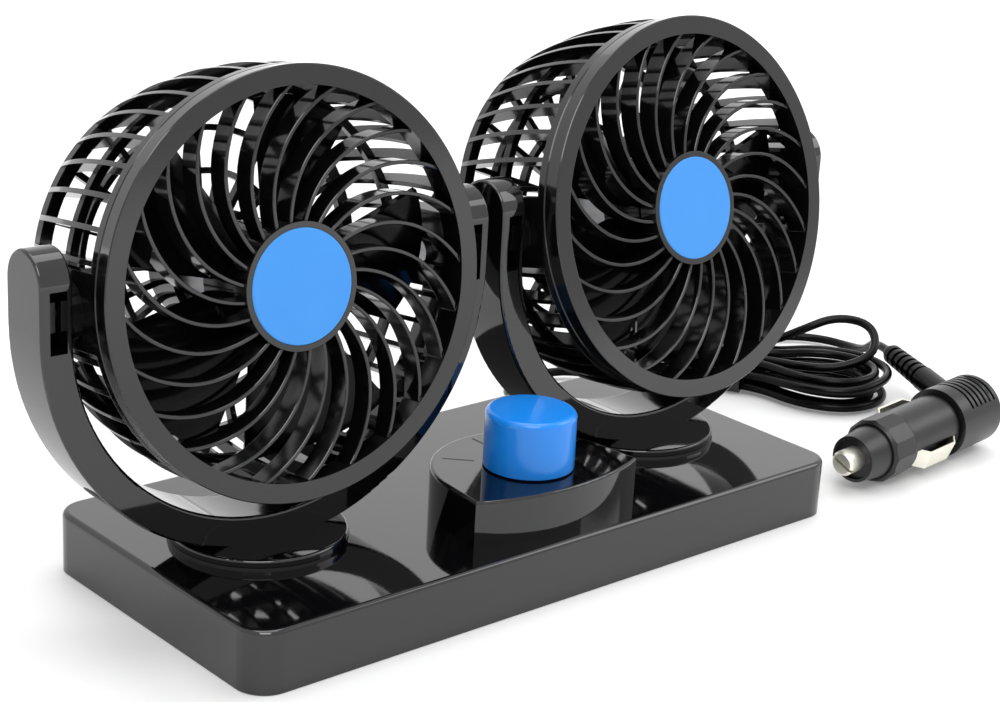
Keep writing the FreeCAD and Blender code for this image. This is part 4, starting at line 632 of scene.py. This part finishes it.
def make_plastics():
    """Materials of the plastic and rubber slots."""
    return {
        "base_plastic": marked_plastic(
            "base_black",
            dark=(0.0022, 0.0022, 0.0026),
            light=(0.0032, 0.0032, 0.0037),
            rough=(0.035, 0.07),
            grain=700.0,
            grain_depth=0.00001,
            ior=1.65,
        ),
        "bottom_plastic": plastic(
            "bottom_black",
            dark=(0.006, 0.006, 0.0065),
            light=(0.010, 0.010, 0.011),
            rough=(0.45, 0.6),
            grain=1500.0,
            grain_depth=0.0001,
        ),
        "switch_plastic": plastic(
            "switch_black",
            dark=(0.008, 0.008, 0.008),
            light=(0.012, 0.012, 0.012),
            rough=(0.45, 0.6),
            grain=1500.0,
            grain_depth=0.0001,
        ),
        "cage_plastic": plastic(
            "cage_black",
            dark=(0.003, 0.003, 0.0034),
            light=(0.005, 0.005, 0.0056),
            rough=(0.07, 0.12),
            grain=900.0,
            grain_depth=0.00001,
            edge=0.0002,
            ior=1.6,
            # Painted shade inside the cage, where it is shut in
            painted_shade_reach=0.02,
        ),
        "fan_plastic": plastic(
            "fan_black",
            dark=(0.002, 0.002, 0.0023),
            light=(0.003, 0.003, 0.0034),
            rough=(0.08, 0.14),
            grain=900.0,
            grain_depth=0.00001,
            # Painted shade on the blades, where they are shut in
            painted_shade_reach=0.04,
        ),
        "blue_plastic": plastic(
            "knob_blue",
            dark=(0.013, 0.275, 0.96),
            light=(0.016, 0.30, 0.99),
            rough=(0.14, 0.22),
            grain=900.0,
            grain_depth=0.00003,
            edge=0.0004,
        ),
        "badge_plastic": plastic(
            "badge_blue",
            dark=(0.050, 0.33, 0.92),
            light=(0.060, 0.36, 0.96),
            rough=(0.40, 0.50),
            grain=900.0,
            grain_depth=0.00003,
        ),
        "plug_plastic": plastic(
            "plug_black",
            dark=(0.006, 0.006, 0.0065),
            light=(0.011, 0.011, 0.012),
            rough=(0.26, 0.40),
            grain=1200.0,
            grain_depth=0.00008,
            edge=0.0003,
        ),
        "cord_rubber": plastic(
            "cord_black",
            dark=(0.0015, 0.0015, 0.0017),
            light=(0.003, 0.003, 0.0034),
            rough=(0.20, 0.28),
            grain=1500.0,
            grain_depth=0.00006,
            ior=1.25,
            # Painted shade between the turns of the hank
            painted_shade_reach=0.02,
        ),
        "tie_plastic": plastic(
            "tie_black",
            dark=(0.006, 0.006, 0.0065),
            light=(0.011, 0.011, 0.012),
            rough=(0.35, 0.5),
            grain=1500.0,
            grain_depth=0.00006,
        ),
    }


def make_metals():
    """Materials of the metal slots, and the blackened steel of the nuts."""
    return {
        "steel": metal(
            "steel",
            dark=(0.45, 0.45, 0.46),
            light=(0.58, 0.58, 0.60),
            rough=(0.22, 0.36),
            grain=1800.0,
        ),
        "motor_steel": metal(
            "motor_steel",
            dark=(0.30, 0.30, 0.32),
            light=(0.42, 0.42, 0.44),
            rough=(0.28, 0.42),
            grain=1400.0,
        ),
        "nickel": metal(
            "nickel",
            dark=(0.86, 0.84, 0.74),
            light=(0.93, 0.91, 0.82),
            rough=(0.38, 0.5),
            grain=1600.0,
        ),
        "black_steel": metal(
            "black_steel",
            dark=(0.060, 0.060, 0.062),
            light=(0.085, 0.085, 0.088),
            rough=(0.30, 0.42),
            grain=1600.0,
        ),
        "fuse_metal": metal(
            "fuse_metal",
            dark=(0.60, 0.50, 0.30),
            light=(0.72, 0.62, 0.42),
            rough=(0.22, 0.34),
            grain=1600.0,
        ),
    }


def dress_nodes(materials):
    """Give every carried-over CAD node its slot's material, and the nuts in the yokes a blackened one."""
    for entry in frame["record"]["subparts"]:
        piece = frame["nodes"][entry["node"]]
        finish = "black_steel" if entry["node"] in BLACKENED_NODES else entry["material_slot"]
        piece.data.materials.clear()
        piece.data.materials.append(materials[finish])


# Stage

def shown_rays(nodes):
    """One for the rays that show the background: straight, mirrored or through something clear."""
    path = nodes.add("ShaderNodeLightPath")
    shown = path.outputs["Is Camera Ray"]
    for name in ("Is Glossy Ray", "Is Transmission Ray"):
        shown = nodes.math("MAXIMUM", shown, path.outputs[name])
    return shown


def make_floor():
    """Pale floor, lifted to white in the distance for the rays that show it."""
    bpy.ops.mesh.primitive_plane_add(size=FLOOR_SIZE, location=(0, 0, -FLOOR_DROP))
    floor = bpy.context.object
    floor.name = "floor"
    material = bpy.data.materials.new("floor_white")
    nodes = Nodes(material, MATERIAL_SHADER)
    shader = nodes.shader
    shader.inputs["Base Color"].default_value = FLOOR_COLOUR
    shader.inputs["Roughness"].default_value = FLOOR_ROUGHNESS
    shader.inputs["Emission Color"].default_value = WHITE
    coordinates = nodes.add("ShaderNodeTexCoord")
    distance = nodes.add("ShaderNodeVectorMath", operation="LENGTH")
    nodes.link(coordinates.outputs["Object"], distance.inputs[0])
    lift = nodes.ranged(distance.outputs["Value"], FLOOR_LIFT_NEAR, FLOOR_LIFT_FAR, FLOOR_NEAR, FLOOR_FAR)
    nodes.link(nodes.math("MULTIPLY", lift, shown_rays(nodes)), shader.inputs["Emission Strength"])
    floor.data.materials.append(material)


def make_world():
    """World that lights unevenly, and is plain white for the rays that show it."""
    world = bpy.data.worlds.new("studio")
    bpy.context.scene.world = world
    nodes = Nodes(world, WORLD_SHADER)
    nodes.shader.inputs["Color"].default_value = WHITE
    coordinates = nodes.add("ShaderNodeTexCoord")
    toward = nodes.add("ShaderNodeVectorMath", operation="DOT_PRODUCT")
    toward.inputs[1].default_value = WORLD_BRIGHT_WAY
    nodes.link(coordinates.outputs["Generated"], toward.inputs[0])
    level = nodes.ranged(
        toward.outputs["Value"],
        WORLD_DIM,
        WORLD_BRIGHT,
        WORLD_DIM_BELOW,
        WORLD_BRIGHT_ABOVE,
    )
    nodes.link(nodes.math("MAXIMUM", level, shown_rays(nodes)), nodes.shader.inputs["Strength"])


def make_lamps():
    """Soft studio lamps that face the object."""
    for name, place, size, power in LAMPS:
        lamp = bpy.data.lights.new(name, "AREA")
        lamp.size = size
        lamp.energy = power
        lamp_object = bpy.data.objects.new(name, lamp)
        lamp_object.location = place
        aim = LAMP_TARGET - Vector(place)
        lamp_object.rotation_euler = aim.to_track_quat("-Z", "Y").to_euler()
        bpy.context.scene.collection.objects.link(lamp_object)


bpy.context.scene.view_settings.view_transform = "Standard"
make_camera()
materials = make_plastics() | make_metals()
dress_nodes(materials)
make_cord(materials["cord_rubber"])
make_spring(materials["steel"])
for side in ("left", "right"):
    make_grille(side, materials["cage_plastic"])
make_floor()
make_world()
make_lamps()
